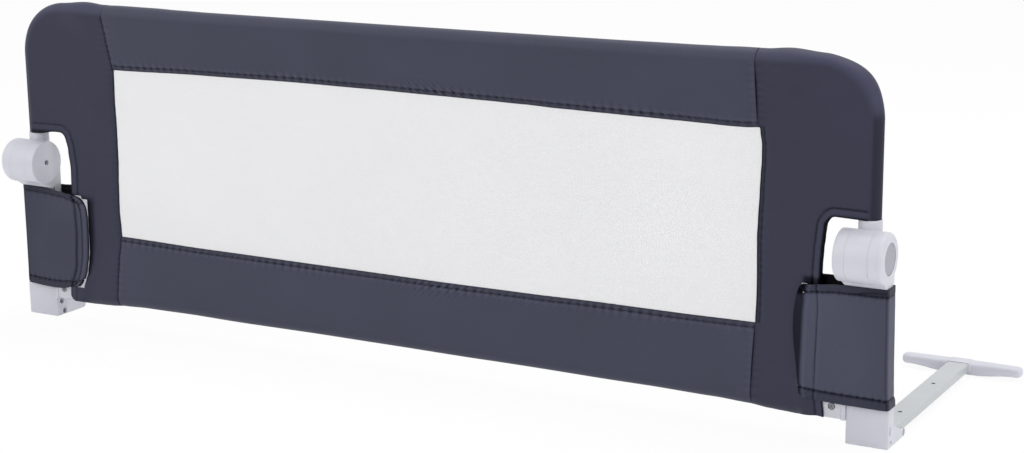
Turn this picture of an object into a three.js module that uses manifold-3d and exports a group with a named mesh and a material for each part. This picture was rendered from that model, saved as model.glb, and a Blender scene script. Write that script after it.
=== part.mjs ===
// Folding bed guard rail, 120 cm long and 42 cm high, in millimetres with +Z up.
// Two clamshell base blocks carry a hinge column each, a leg that slides under the mattress
// and the lower crossbar. The upper hoop of bent tube turns down over the front about the two
// drum hinges. A stretched cover with a mesh window spans the hoop and the crossbar.
// The right end is modelled once, at +X, and the left end is its mirror image.
// Depths (Y) count from the front face of the base blocks until the last group centres them.

import * as THREE from "three";
import { ConvexGeometry } from "three/addons/geometries/ConvexGeometry.js";
import { mergeVertices } from "three/addons/utils/BufferGeometryUtils.js";
import Module from "manifold-3d";

const wasm = await Module();
wasm.setup();

// Rail as a whole
const railLength = 1207;
const foldHeight = 212.5;
const foldDepth = -10.2;

// Gaps and cutting
const clearance = 0.3;
const overrun = 5;
const weldTolerance = 0.0005;

// Upper hoop of round steel tube
const tubeRadius = 11;
const tubeWall = 1.2;
const tubeDepth = 7;
const uprightInset = 29;
const hoopHeight = 409;
const bendRadius = 55;
const hoopArm = 274.5;
const spigotLength = 40;

// Lower crossbar
const crossbarRadius = 9.5;
const crossbarWall = 1.2;
const crossbarDepth = 9.5;
const crossbarHeight = 41.5;
const crossbarSeat = 7;

// Base block: a tall front part and a low heel behind it that cradles the leg
const blockWidth = 48;
const blockDepth = 18;
const blockHeight = 50;
const blockWall = 2.5;
const blockBevel = 1.2;
const heelStep = 22;
const heelSlopeHeight = 10;
const heelDepth = 52;
const heelRadius = 5;

// Hinge column and its two cheeks
const columnFront = -3;
const columnRound = 2;
const columnInset = 2.5;
const spigotDepth = 26;
const lipRise = 0.5;
const lipSlope = 7;
const spigotWall = 2.2;
const cheekRadius = 28.2;
const innerCheekWidth = 12.9;
const outerCheekWidth = 14.5;
const cheekRound = 4.5;
const cheekEdge = 1;
const rockerPlay = 1.5;

// Hinge head with the neck that holds the upright
const headWidth = 25.6;
const headRadius = 27.9;
const neckRadius = 12.8;
const neckRise = 36.8;
const neckFloor = 1.5;
const neckLip = 0.8;

// Lock inside the drum: button, toothed ring, return spring and axle
const buttonRadius = 17;
const buttonThickness = 5.5;
const buttonTravel = 5;
const buttonStemRadius = 7;
const lockTeeth = 8;
const lockTipRadius = 20.3;
const lockRootRadius = 18;
const lockWidth = 7;
const lockHubRadius = 11;
const axleRadius = 5;
const axleCover = 4.5;
const axleTail = 2.5;
const headFloor = 10;
const springCoilRadius = 8;
const springWireRadius = 0.8;
const springTurns = 3;

// Leg under the mattress
const legWidth = 24;
const legHeight = 10;
const legBottom = 7;
const legWall = 1.2;
const legRound = 2.2;
const legStart = 22;
const legEnd = 306;
const legOffset = 14.5;
const legHoleRadius = 2.3;
const legHoleDepths = [86, 203];

// Cross foot on the leg's end
const footLength = 146;
const footDepth = 20;
const footHeight = 18.2;
const footCentre = 308;
const footTipShare = 0.82;
const footTipRise = 3;
const footRound = 5;
const footTipLength = 6;
const footFlatHalf = 20;
const footSleeveStart = 279;
const footSleeveWall = 1.2;
const footSleeveFloor = 3.6;
const footSectionShares = [
  [-0.42, 0],
  [0.42, 0],
  [0.5, 0.12],
  [0.5, 0.6],
  [0.4, 0.88],
  [0.2, 1],
  [-0.2, 1],
  [-0.4, 0.88],
  [-0.5, 0.6],
  [-0.5, 0.12],
];

// Crossbar socket beside the base block
const socketLength = 50.2;
const socketFlange = 4.6;
const socketStep = 0.8;
const socketDepth = 22.4;
const socketBottom = 27;
const socketTop = 58;
const socketRound = 8;

// Screws and pins
const screwRadius = 2;
const screwHeadRadius = 3.6;
const screwHeadHeight = 2.6;
const screwTipCover = 3.5;
const screwSinkDepth = 1;
const blockScrewPlaces = { top: [12, 33], front: [9.5, 19.1], low: [14.4, 4.8] };
const heelBoltCapRadius = 4.2;
const heelBoltCapThickness = 2.2;
const heelBoltRadius = 1.7;
const legPinRadius = 2.5;
const legPinDepth = 28;
const slotDepthPlace = 6.1;
const slotHeightPlace = 19.2;
const slotLength = 10.4;
const slotWidth = 3;
const slotSink = 1.8;
const dimplePlace = [10.1, 5.9];
const dimpleRadius = 1.9;
const socketScrewInset = 15.5;
const socketScrewHeight = 40.4;

// Stretched cover
const clothAllowance = 1.4;
const sidePanelWidth = 78;
const seamHalf = 1.8;
const topStripDrop = 69;
const bottomStripRise = 78.5;
const meshThickness = 1.2;
const notchGap = 24.5;
const notchRise = 0.6;
const notchRound = 20;
const hemDrop = 14.5;
const hemRise = 3.6;
const hemStraight = 27;

// Pocket that wraps the hinge column, with its closing strip
const pocketOverlap = 21;
const pocketBottomDrop = 5;
const pocketTopSlope = 4;
const pocketThickness = 1.2;
const pocketRound = 3;
const stripShow = 14;
const stripWidth = 20;
const stripTopDrop = 5;
const stripThickness = 2;

// Facets
const fineSides = 24;
const tubeSides = 14;
const smallSides = 8;
const bendSteps = 7;
const arcSegments = 3;
const rimSteps = 3;
const springSteps = 8;
const springSides = 6;

// Places that follow from the sizes above
const blockOuter = railLength / 2;
const blockInner = blockOuter - blockWidth;
const blockMiddle = (blockOuter + blockInner) / 2;
const uprightX = blockOuter - uprightInset;
const jointX = uprightX - hoopArm;
const headInner = uprightX - headWidth / 2;
const headOuter = uprightX + headWidth / 2;
const innerCheekOuter = headInner - clearance;
const innerCheekInner = innerCheekOuter - innerCheekWidth;
const outerCheekInner = headOuter + clearance;
const outerCheekOuter = outerCheekInner + outerCheekWidth;
const legX = blockOuter - legOffset;
const legTop = legBottom + legHeight;
const neckTop = foldHeight + neckRise;
const notchTop = neckTop + notchRise;
const notchHalfSpan = innerCheekInner - notchGap;
const seamHalfSpan = notchHalfSpan - sidePanelWidth;
const windowTop = hoopHeight - topStripDrop;
const windowBottom = crossbarHeight + bottomStripRise;
const hemBottom = crossbarHeight - hemDrop;
const columnOuter = outerCheekOuter - columnInset;
const lipBottom = foldHeight - cheekRadius - lipSlope;
const pocketOuterTop = lipBottom - lipRise;
const pocketTipTop = pocketOuterTop - pocketTopSlope;
const pocketBottom = blockHeight - pocketBottomDrop;
const pocketTip = notchHalfSpan - pocketOverlap;
const stripInner = pocketTip - stripShow;
const stripTop = pocketTipTop - stripTopDrop;
const neckSocketBottom = foldHeight + lockTipRadius + 2 * clearance + neckFloor;
const spigotSide = blockWall + clearance;
const socketOuter = blockInner - clearance;
const socketInner = socketOuter - socketLength;
const sleeveRadius = tubeRadius + clothAllowance;
const lowSleeveRadius = crossbarRadius + clothAllowance;
const frontFace = foldDepth - cheekRadius;
const backFace = footCentre + footDepth / 2;

// Materials
const plastic = { color: 0xcfcfda, roughness: 0.45, metalness: 0 };
const buttonPlastic = { color: 0xa5a6af, roughness: 0.5, metalness: 0 };
const paintedSteel = { color: 0xc1c5c8, roughness: 0.4, metalness: 0.1 };
const bareSteel = { color: 0x9a9ca0, roughness: 0.3, metalness: 0.9 };
const clothSide = { color: 0x3d3e4e, roughness: 0.85, metalness: 0 };
const clothStrip = { color: 0x474958, roughness: 0.85, metalness: 0 };
const meshCloth = { color: 0xf0f0f0, roughness: 0.9, metalness: 0 };
const hookStrip = { color: 0xd8d9de, roughness: 0.9, metalness: 0 };

// A run through given points, so that an extrusion has one ring at each of them.
class PointRun extends THREE.Curve {
  constructor(points) {
    super();
    this.points = points;
  }

  getPoint(t, target = new THREE.Vector3()) {
    const last = this.points.length - 1;
    const at = Math.min(Math.floor(t * last + weldTolerance), last - 1);
    return target.lerpVectors(this.points[at], this.points[at + 1], t * last - at);
  }

  getPointAt(u, target) {
    return this.getPoint(u, target);
  }

  getTangentAt(u, target = new THREE.Vector3()) {
    const last = this.points.length - 1;
    const at = Math.round(u * last);
    const before = this.points[Math.max(at - 1, 0)];
    const here = this.points[at];
    const after = this.points[Math.min(at + 1, last)];
    const arriving = new THREE.Vector3().subVectors(here, before).normalize();
    const leaving = new THREE.Vector3().subVectors(after, here).normalize();
    return target.addVectors(arriving, leaving).normalize();
  }
}

// A three.js geometry as a closed solid with its faces out.
function toSolid(geometry) {
  const loose = geometry.index ? geometry.toNonIndexed() : geometry;
  const bare = new THREE.BufferGeometry();
  bare.setAttribute("position", loose.getAttribute("position"));
  const merged = mergeVertices(bare, weldTolerance);
  const corners = new Uint32Array(merged.index.array);
  const vertices = merged.attributes.position.array;
  const solid = new wasm.Manifold(
    new wasm.Mesh({ numProp: 3, vertProperties: vertices, triVerts: corners }),
  );
  if (solid.volume() > 0) return solid;
  for (let i = 0; i < corners.length; i += 3) {
    [corners[i + 1], corners[i + 2]] = [corners[i + 2], corners[i + 1]];
  }
  return new wasm.Manifold(
    new wasm.Mesh({ numProp: 3, vertProperties: vertices, triVerts: corners }),
  );
}

// A solid back as a three.js geometry.
function toGeometry(solid) {
  const mesh = solid.getMesh();
  const stride = mesh.numProp;
  const positions = new Float32Array(mesh.numVert * 3);
  for (let i = 0; i < mesh.numVert; i += 1) {
    positions.set(mesh.vertProperties.subarray(i * stride, i * stride + 3), i * 3);
  }
  const indexed = new THREE.BufferGeometry();
  indexed.setAttribute("position", new THREE.BufferAttribute(positions, 3));
  indexed.setIndex(new THREE.BufferAttribute(new Uint32Array(mesh.triVerts), 1));
  indexed.computeVertexNormals();
  return indexed;
}

function makeMesh(name, geometry, look) {
  const mesh = new THREE.Mesh(geometry, new THREE.MeshStandardMaterial(look));
  mesh.name = name;
  return mesh;
}

// Plain solids between two places on each axis.
function box([x0, x1], [y0, y1], [z0, z1]) {
  const geometry = new THREE.BoxGeometry(x1 - x0, y1 - y0, z1 - z0);
  geometry.translate((x0 + x1) / 2, (y0 + y1) / 2, (z0 + z1) / 2);
  return toSolid(geometry);
}

function rodX(radius, [y, z], [x0, x1], sides = tubeSides) {
  const geometry = new THREE.CylinderGeometry(radius, radius, x1 - x0, sides);
  geometry.rotateZ(-Math.PI / 2);
  geometry.translate((x0 + x1) / 2, y, z);
  return toSolid(geometry);
}

function rodY(radius, [x, z], [y0, y1], sides = tubeSides) {
  const geometry = new THREE.CylinderGeometry(radius, radius, y1 - y0, sides);
  geometry.translate(x, (y0 + y1) / 2, z);
  return toSolid(geometry);
}

function rodZ(radius, [x, y], [z0, z1], sides = tubeSides) {
  const geometry = new THREE.CylinderGeometry(radius, radius, z1 - z0, sides);
  geometry.rotateX(Math.PI / 2);
  geometry.translate(x, y, (z0 + z1) / 2);
  return toSolid(geometry);
}

// Extrusions of an outline along one axis. bevel rounds both end edges inwards.
function extrude(shape, depth, bevel) {
  return new THREE.ExtrudeGeometry(shape, {
    depth: depth - 2 * bevel,
    curveSegments: arcSegments,
    bevelEnabled: bevel > 0,
    bevelThickness: bevel,
    bevelSize: bevel,
    bevelOffset: -bevel,
    bevelSegments: 2,
  }).translate(0, 0, bevel);
}

const alongX = new THREE.Matrix4().makeBasis(
  new THREE.Vector3(0, 1, 0),
  new THREE.Vector3(0, 0, 1),
  new THREE.Vector3(1, 0, 0),
);
const alongY = new THREE.Matrix4().makeBasis(
  new THREE.Vector3(1, 0, 0),
  new THREE.Vector3(0, 0, 1),
  new THREE.Vector3(0, -1, 0),
);
const turnedX = new THREE.Matrix4().makeBasis(
  new THREE.Vector3(0, 1, 0),
  new THREE.Vector3(1, 0, 0),
  new THREE.Vector3(0, 0, -1),
);

function prismX(shape, [x0, x1], bevel = 0) {
  return toSolid(extrude(shape, x1 - x0, bevel).applyMatrix4(alongX).translate(x0, 0, 0));
}

function prismY(shape, [y0, y1], bevel = 0) {
  return toSolid(extrude(shape, y1 - y0, bevel).applyMatrix4(alongY).translate(0, y1, 0));
}

function prismZ(shape, [z0, z1], bevel = 0) {
  return toSolid(extrude(shape, z1 - z0, bevel).translate(0, 0, z0));
}

// A turned solid about the fold axis, from pairs of radius and place along X.
function turnedOnFold(profile, sides = fineSides) {
  const points = profile.map(([radius, x]) => new THREE.Vector2(radius, x));
  const geometry = new THREE.LatheGeometry(points, sides).applyMatrix4(turnedX);
  return toSolid(geometry.translate(0, foldDepth, foldHeight));
}

function roundedRect([u0, u1], [v0, v1], round) {
  const shape = new THREE.Shape();
  shape.moveTo(u0 + round, v0);
  shape.lineTo(u1 - round, v0);
  shape.absarc(u1 - round, v0 + round, round, -Math.PI / 2, 0, false);
  shape.lineTo(u1, v1 - round);
  shape.absarc(u1 - round, v1 - round, round, 0, Math.PI / 2, false);
  shape.lineTo(u0 + round, v1);
  shape.absarc(u0 + round, v1 - round, round, Math.PI / 2, Math.PI, false);
  shape.lineTo(u0, v0 + round);
  shape.absarc(u0 + round, v0 + round, round, Math.PI, 1.5 * Math.PI, false);
  return shape;
}

function polygon(points) {
  return new THREE.Shape(points.map(([u, v]) => new THREE.Vector2(u, v)));
}

function joined(solids) {
  return solids.reduce((whole, piece) => whole.add(piece));
}

function cutBy(solid, tools) {
  return tools.reduce((rest, tool) => rest.subtract(tool), solid);
}

// The upright and half of the top rail as one centreline.
function hoopRun(bottom, inner) {
  const points = [new THREE.Vector3(uprightX, tubeDepth, bottom)];
  for (let i = 0; i <= bendSteps; i += 1) {
    const angle = (i / bendSteps) * (Math.PI / 2);
    points.push(
      new THREE.Vector3(
        uprightX - bendRadius + bendRadius * Math.cos(angle),
        tubeDepth,
        hoopHeight - bendRadius + bendRadius * Math.sin(angle),
      ),
    );
  }
  points.push(new THREE.Vector3(inner, tubeDepth, hoopHeight));
  return new PointRun(points);
}

function sweep(run, radius, bore = 0) {
  const shape = new THREE.Shape();
  shape.absarc(0, 0, radius, 0, 2 * Math.PI, false);
  if (bore > 0) {
    const hole = new THREE.Path();
    hole.absarc(0, 0, bore, 0, 2 * Math.PI, true);
    shape.holes.push(hole);
  }
  return toSolid(
    new THREE.ExtrudeGeometry(shape, {
      steps: run.points.length - 1,
      extrudePath: run,
      curveSegments: tubeSides / 2,
    }),
  );
}

// Where the screws run through the block, so that every piece is drilled alike.
function blockScrewHoles() {
  const start = blockInner - overrun;
  const shankEnd = blockOuter - screwTipCover + clearance;
  const headEnd = blockInner + screwSinkDepth + screwHeadHeight;
  const screws = Object.values(blockScrewPlaces).flatMap((place) => [
    rodX(screwRadius + clearance, place, [start, shankEnd], smallSides),
    rodX(screwHeadRadius + clearance, place, [start, headEnd]),
  ]);
  const heel = [heelDepth, heelRadius];
  const boltSpan = [blockInner + blockWall - clearance, blockOuter];
  const capSpan = [blockOuter - heelBoltCapThickness - clearance, blockOuter + overrun];
  const pin = [legPinDepth, legBottom + legHeight / 2];
  const pinSpan = [blockInner + blockWall, blockOuter - screwHeadHeight];
  return [
    ...screws,
    rodX(heelBoltRadius + clearance, heel, boltSpan, smallSides),
    rodX(heelBoltCapRadius + clearance, heel, capSpan),
    rodX(legPinRadius + clearance, pin, pinSpan, smallSides),
  ];
}

function makeBlock() {
  const outline = new THREE.Shape();
  outline.moveTo(0, 0);
  outline.lineTo(heelDepth, 0);
  outline.absarc(heelDepth, heelRadius, heelRadius, -Math.PI / 2, Math.PI / 2, false);
  outline.lineTo(heelDepth - heelRadius, heelSlopeHeight);
  outline.lineTo(blockDepth, heelStep);
  outline.lineTo(blockDepth, blockHeight);
  outline.lineTo(0, blockHeight);
  const body = prismX(outline, [blockInner, blockOuter], blockBevel);
  const legBay = box(
    [legX - legWidth / 2 - clearance, legX + legWidth / 2 + clearance],
    [legStart - clearance, legEnd],
    [legBottom - clearance, legTop + clearance],
  );
  const columnBay = box(
    [blockInner + blockWall, columnOuter],
    [blockWall, blockDepth - blockWall],
    [blockHeight - spigotDepth - clearance, blockHeight + overrun],
  );
  const slot = prismX(
    roundedRect(
      [slotDepthPlace - slotWidth / 2, slotDepthPlace + slotWidth / 2],
      [slotHeightPlace - slotLength / 2, slotHeightPlace + slotLength / 2],
      slotWidth / 2 - weldTolerance,
    ),
    [blockOuter - slotSink, blockOuter + overrun],
  );
  const dimpleSpan = [blockOuter - slotSink, blockOuter + overrun];
  const dimple = rodX(dimpleRadius, dimplePlace, dimpleSpan, smallSides);
  return cutBy(body, [legBay, columnBay, slot, dimple, ...blockScrewHoles()]);
}

function blockHalf(block, [x0, x1]) {
  const depths = [-overrun, heelDepth + heelRadius + overrun];
  return block.intersect(box([x0, x1], depths, [-overrun, blockHeight + overrun]));
}

function makeBlockScrew([y, z]) {
  const head = [blockInner + screwSinkDepth, blockInner + screwSinkDepth + screwHeadHeight];
  return rodX(screwHeadRadius, [y, z], head, tubeSides).add(
    rodX(screwRadius, [y, z], [head[0], blockOuter - screwTipCover], smallSides),
  );
}

function makeHeelBolt() {
  const place = [heelDepth, heelRadius];
  const cap = rodX(heelBoltCapRadius, place, [blockOuter - heelBoltCapThickness, blockOuter]);
  const shankSpan = [blockInner + blockWall, blockOuter - heelBoltCapThickness / 2];
  return cap.add(rodX(heelBoltRadius, place, shankSpan, smallSides));
}

function makeLegPin() {
  const pin = [legPinDepth, legBottom + legHeight / 2];
  return rodX(
    legPinRadius,
    pin,
    [blockInner + blockWall + clearance, blockOuter - screwHeadHeight - clearance],
    smallSides,
  );
}

// One cheek of the clevis: a drum slice with a rounded or a crisp outer rim.
function cheek(inner, outer, roundAtOuter) {
  const round = roundAtOuter ? cheekRound : cheekEdge;
  const steps = roundAtOuter ? rimSteps : 1;
  const profile = [];
  const corner = roundAtOuter ? outer - round : inner + round;
  for (let i = 0; i <= steps; i += 1) {
    const angle = (i / steps) * (Math.PI / 2);
    const radius = cheekRadius - round + round * Math.cos(angle);
    const reach = round * Math.sin(angle);
    profile.push([radius, roundAtOuter ? corner + reach : corner - reach]);
  }
  const flat = roundAtOuter ? inner : outer;
  return turnedOnFold([[0, flat], [cheekRadius, flat], ...profile, [0, roundAtOuter ? outer : inner]]);
}

function makeHingeColumn() {
  const web = [blockInner, columnOuter];
  const shank = prismZ(
    roundedRect(web, [columnFront, blockDepth], columnRound),
    [blockHeight + clearance, foldHeight - headRadius + overrun],
  );
  const lip = prismX(
    polygon([
      [columnFront + columnRound, lipBottom - columnRound],
      [foldDepth, lipBottom + lipSlope],
      [foldDepth, foldHeight],
      [columnFront + columnRound, foldHeight],
    ]),
    web,
  );
  const arms = [
    [blockInner, innerCheekOuter],
    [outerCheekInner, outerCheekOuter],
  ].map((span) => box(span, [foldDepth, blockDepth], [foldHeight - cheekRadius, foldHeight]));
  const body = joined([
    shank,
    lip,
    ...arms,
    cheek(innerCheekInner, innerCheekOuter, false),
    cheek(outerCheekInner, outerCheekOuter, true),
  ]);
  const rockerRadius = uprightReach() + rockerPlay;
  const fold = [foldDepth, foldHeight];
  const headBay = rodX(rockerRadius, fold, [headInner - clearance, headOuter + clearance], fineSides);
  const underCheek = box(
    [blockInner - overrun, blockInner],
    [foldDepth - cheekRadius, blockDepth + overrun],
    [lipBottom - overrun, foldHeight - cheekRadius],
  );
  const hollow = box(
    [blockInner + spigotSide + spigotWall, columnOuter - clearance - spigotWall],
    [spigotSide + spigotWall, blockDepth - spigotSide - spigotWall],
    [blockHeight - spigotDepth - overrun, foldHeight - rockerRadius - 2 * blockWall],
  );
  const spigot = box(
    [blockInner + spigotSide, columnOuter - clearance],
    [spigotSide, blockDepth - spigotSide],
    [blockHeight - spigotDepth, blockHeight + overrun],
  );
  const axleBore = rodX(axleRadius + clearance, fold, [innerCheekInner + axleCover, headInner]);
  const beside = innerCheekInner - overrun;
  const screwBore = rodX(screwRadius + clearance, fold, [beside, headInner], smallSides);
  const headSink = rodX(
    screwHeadRadius + clearance,
    fold,
    [beside, innerCheekInner + screwSinkDepth + screwHeadHeight - clearance],
  );
  const buttonBore = rodX(
    buttonRadius + 2 * clearance,
    fold,
    [outerCheekInner - overrun, blockOuter],
    fineSides,
  );
  const toothBore = splineRod(
    lockTipRadius + clearance,
    lockRootRadius + clearance,
    [outerCheekInner - overrun, outerCheekInner + lockWidth + 2 * clearance],
    clearance,
  );
  return cutBy(joined([body.subtract(headBay), spigot]), [
    underCheek,
    hollow,
    axleBore,
    screwBore,
    headSink,
    buttonBore,
    toothBore,
    ...blockScrewHoles(),
  ]);
}

// Furthest reach of the neck's foot from the fold axis.
function uprightReach() {
  return tubeDepth + neckRadius - foldDepth;
}

// A toothed rod about the fold axis; play widens each tooth for the matching bore.
function splineRod(tip, root, [x0, x1], play) {
  const core = rodX(root, [foldDepth, foldHeight], [x0, x1], fineSides);
  const tooth = (2 * Math.PI * root) / lockTeeth / 4 + play;
  const teeth = [];
  for (let i = 0; i < lockTeeth; i += 1) {
    const geometry = new THREE.BoxGeometry(x1 - x0, 2 * tooth, tip);
    geometry.translate((x0 + x1) / 2, 0, tip / 2);
    geometry.rotateX((i / lockTeeth) * 2 * Math.PI);
    geometry.translate(0, foldDepth, foldHeight);
    teeth.push(toSolid(geometry));
  }
  return joined([core, ...teeth]);
}

function makeHingeHead() {
  const fold = [foldDepth, foldHeight];
  const upright = [uprightX, tubeDepth];
  const drum = rodX(headRadius, fold, [headInner, headOuter], fineSides);
  const neck = rodZ(neckRadius, upright, [foldHeight, neckTop], fineSides);
  const collarSpan = [neckTop, neckTop + clearance];
  const neckCollar = rodZ(neckRadius - neckLip, upright, collarSpan, fineSides);
  const socketSpan = [neckSocketBottom - clearance, neckTop + overrun];
  const socket = rodZ(tubeRadius + clearance, upright, socketSpan);
  const axleBore = rodX(axleRadius + clearance, fold, [headInner - overrun, headOuter]);
  const lockBay = rodX(
    lockTipRadius + 2 * clearance,
    fold,
    [headInner + headFloor, headOuter + overrun],
    fineSides,
  );
  return cutBy(joined([drum, neck, neckCollar]), [axleBore, lockBay]).subtract(socket);
}

function makeAxle() {
  const fold = [foldDepth, foldHeight];
  const end = outerCheekInner - buttonTravel - axleTail;
  const body = rodX(axleRadius, fold, [innerCheekInner + axleCover + clearance, end]);
  const threadSpan = [innerCheekInner, headInner + headFloor / 2];
  return body.subtract(rodX(screwRadius + clearance, fold, threadSpan, smallSides));
}

function makeAxleScrew() {
  const fold = [foldDepth, foldHeight];
  const head = innerCheekInner + screwSinkDepth;
  return rodX(screwHeadRadius, fold, [head, head + screwHeadHeight - 2 * clearance]).add(
    rodX(screwRadius, fold, [head, headInner + headFloor / 2 - clearance], smallSides),
  );
}

function makeLockRing() {
  const span = [outerCheekInner + clearance, outerCheekInner + clearance + lockWidth];
  const ring = splineRod(lockTipRadius, lockRootRadius, span, 0);
  const recess = rodX(
    lockHubRadius + clearance,
    [foldDepth, foldHeight],
    [span[0] - overrun, span[0] + lockWidth / 2],
    fineSides,
  );
  return ring.subtract(recess);
}

function makeButton() {
  const fold = [foldDepth, foldHeight];
  const stemStart = outerCheekInner + lockWidth + 2 * clearance;
  const face = turnedOnFold([
    [0, outerCheekOuter - buttonThickness],
    [buttonRadius, outerCheekOuter - buttonThickness],
    [buttonRadius, outerCheekOuter - cheekEdge],
    [buttonRadius - cheekEdge, outerCheekOuter],
    [0, outerCheekOuter],
  ]);
  return face.add(rodX(buttonStemRadius, fold, [stemStart, outerCheekOuter - buttonThickness / 2]));
}

function makeButtonSpring() {
  const start = headInner + headFloor + clearance + springWireRadius;
  const end = outerCheekInner + lockWidth / 2 - clearance - springWireRadius;
  const count = springTurns * springSteps;
  const points = [];
  for (let i = 0; i <= count; i += 1) {
    const angle = (i / springSteps) * 2 * Math.PI;
    points.push(
      new THREE.Vector3(
        start + ((end - start) * i) / count,
        foldDepth + springCoilRadius * Math.cos(angle),
        foldHeight + springCoilRadius * Math.sin(angle),
      ),
    );
  }
  const wire = new THREE.Shape();
  wire.absarc(0, 0, springWireRadius, 0, 2 * Math.PI, false);
  return toSolid(
    new THREE.ExtrudeGeometry(wire, {
      steps: count,
      extrudePath: new PointRun(points),
      curveSegments: springSides / 2,
    }),
  );
}

function makeSideTube() {
  return sweep(hoopRun(neckSocketBottom, jointX + clearance), tubeRadius, tubeRadius - tubeWall);
}

// A straight hollow tube along X with thinner ends that plug into the next tube.
function makeTopTube() {
  const spigotRadius = tubeRadius - tubeWall - clearance;
  const bore = spigotRadius - tubeWall;
  const at = [tubeDepth, hoopHeight];
  const body = rodX(tubeRadius, at, [-jointX, jointX]);
  const inserts = rodX(spigotRadius, at, [-jointX - spigotLength, jointX + spigotLength]);
  const hollow = rodX(bore, at, [-jointX - spigotLength - overrun, jointX + spigotLength + overrun]);
  return body.add(inserts).subtract(hollow);
}

function socketScrewPlace() {
  return [socketInner + socketLength - socketScrewInset, socketScrewHeight];
}

function makeCrossbar() {
  const reach = socketOuter - crossbarSeat;
  const at = [crossbarDepth, crossbarHeight];
  const [screwX, screwZ] = socketScrewPlace();
  const shell = rodX(crossbarRadius, at, [-reach, reach]).subtract(
    rodX(crossbarRadius - crossbarWall, at, [-reach - overrun, reach + overrun]),
  );
  const holes = [-1, 1].map((side) =>
    rodY(
      screwRadius + clearance,
      [side * screwX, screwZ],
      [crossbarDepth - crossbarRadius - overrun, crossbarDepth],
      smallSides,
    ),
  );
  return cutBy(shell, holes);
}

function makeSocket() {
  const face = [crossbarDepth - socketDepth / 2, crossbarDepth + socketDepth / 2];
  const heights = [socketBottom, socketTop];
  const flangeInner = socketOuter - socketFlange;
  const outline = roundedRect([socketInner, flangeInner + socketRound], heights, socketRound);
  const upToFlange = box([socketInner, flangeInner], face, heights);
  const body = prismY(outline, face, blockBevel).intersect(upToFlange);
  const flange = box(
    [flangeInner, socketOuter],
    [face[0] - socketStep, face[1] + socketStep],
    [socketBottom - socketStep, socketTop],
  );
  const bore = rodX(
    crossbarRadius + clearance,
    [crossbarDepth, crossbarHeight],
    [socketInner - overrun, socketOuter - crossbarSeat + clearance],
  );
  const screw = socketScrewPlace();
  const ahead = face[0] - overrun;
  const shankHole = rodY(screwRadius + clearance, screw, [ahead, crossbarDepth], smallSides);
  const headHole = rodY(screwHeadRadius + clearance, screw, [ahead, face[0] + clearance]);
  return cutBy(body.add(flange), [bore, shankHole, headHole, ...blockScrewHoles()]);
}

function makeSocketScrew() {
  const face = crossbarDepth - socketDepth / 2;
  const start = face - screwSinkDepth;
  const place = socketScrewPlace();
  const head = rodY(screwHeadRadius, place, [start, face]);
  return head.add(rodY(screwRadius, place, [start, crossbarDepth - clearance], smallSides));
}

function makeLeg() {
  const half = legWidth / 2;
  const outer = roundedRect([legX - half, legX + half], [legBottom, legTop], legRound);
  const inner = roundedRect(
    [legX - half + legWall, legX + half - legWall],
    [legBottom + legWall, legTop - legWall],
    legRound - legWall,
  );
  const shell = prismY(outer, [legStart, legEnd]).subtract(
    prismY(inner, [legStart - overrun, legEnd + overrun]),
  );
  const legMiddle = legBottom + legHeight / 2;
  const holes = legHoleDepths.map((y) =>
    rodZ(legHoleRadius, [legX, y], [legMiddle, legTop + overrun], smallSides),
  );
  const pinSpan = [legX - legWidth, legX + legWidth];
  return cutBy(shell, [
    ...holes,
    rodX(legPinRadius + clearance, [legPinDepth, legMiddle], pinSpan, smallSides),
    rodZ(screwRadius + clearance, footScrewPlace(), [0, legMiddle], smallSides),
  ]);
}

function footScrewPlace() {
  return [legX, footCentre - footDepth / 4];
}

// One cross section of the foot: a rounded bar between a bottom and a top height.
function footRing(x, depth, [bottom, top]) {
  return footSectionShares.map(([depthShare, heightShare]) => {
    const height = bottom + heightShare * (top - bottom);
    return new THREE.Vector3(x, footCentre + depthShare * depth, height);
  });
}

function makeFoot() {
  const half = footLength / 2;
  const tipDepth = footDepth * footTipShare;
  const tipTop = footHeight - footTipRise / 2;
  const edge = footRound / 2;
  const rings = [];
  [-1, 1].forEach((side) => {
    const place = (inset) => legX + side * (half - inset);
    const tip = [footTipRise + edge, tipTop - edge];
    rings.push(...footRing(place(0), tipDepth - 2 * footRound, tip));
    rings.push(...footRing(place(footTipLength / 3), tipDepth - footRound, [footTipRise, tipTop]));
    rings.push(...footRing(place(footTipLength), tipDepth, [footTipRise, tipTop]));
    rings.push(...footRing(place(half - footFlatHalf), footDepth, [0, footHeight]));
  });
  const halfSleeve = legWidth / 2 + clearance + footSleeveWall;
  const sleeve = prismY(
    roundedRect([legX - halfSleeve, legX + halfSleeve], [footSleeveFloor, footHeight], legRound),
    [footSleeveStart, footCentre],
  );
  const body = toSolid(new ConvexGeometry(rings)).add(sleeve);
  const socket = box(
    [legX - legWidth / 2 - clearance, legX + legWidth / 2 + clearance],
    [footSleeveStart - overrun, legEnd + clearance],
    [legBottom - clearance, legTop + clearance],
  );
  const screw = footScrewPlace();
  const headEnd = screwSinkDepth + screwHeadHeight;
  const shankHole = rodZ(screwRadius + clearance, screw, [-overrun, legBottom], smallSides);
  const headHole = rodZ(screwHeadRadius + clearance, screw, [-overrun, headEnd]);
  return cutBy(body, [socket, shankHole, headHole]);
}

function makeFootScrew() {
  const place = footScrewPlace();
  const headEnd = screwSinkDepth + screwHeadHeight - clearance;
  const head = rodZ(screwHeadRadius, place, [screwSinkDepth, headEnd]);
  const shankSpan = [screwSinkDepth, legBottom + legHeight / 2];
  return head.add(rodZ(screwRadius, place, shankSpan, smallSides));
}

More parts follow.
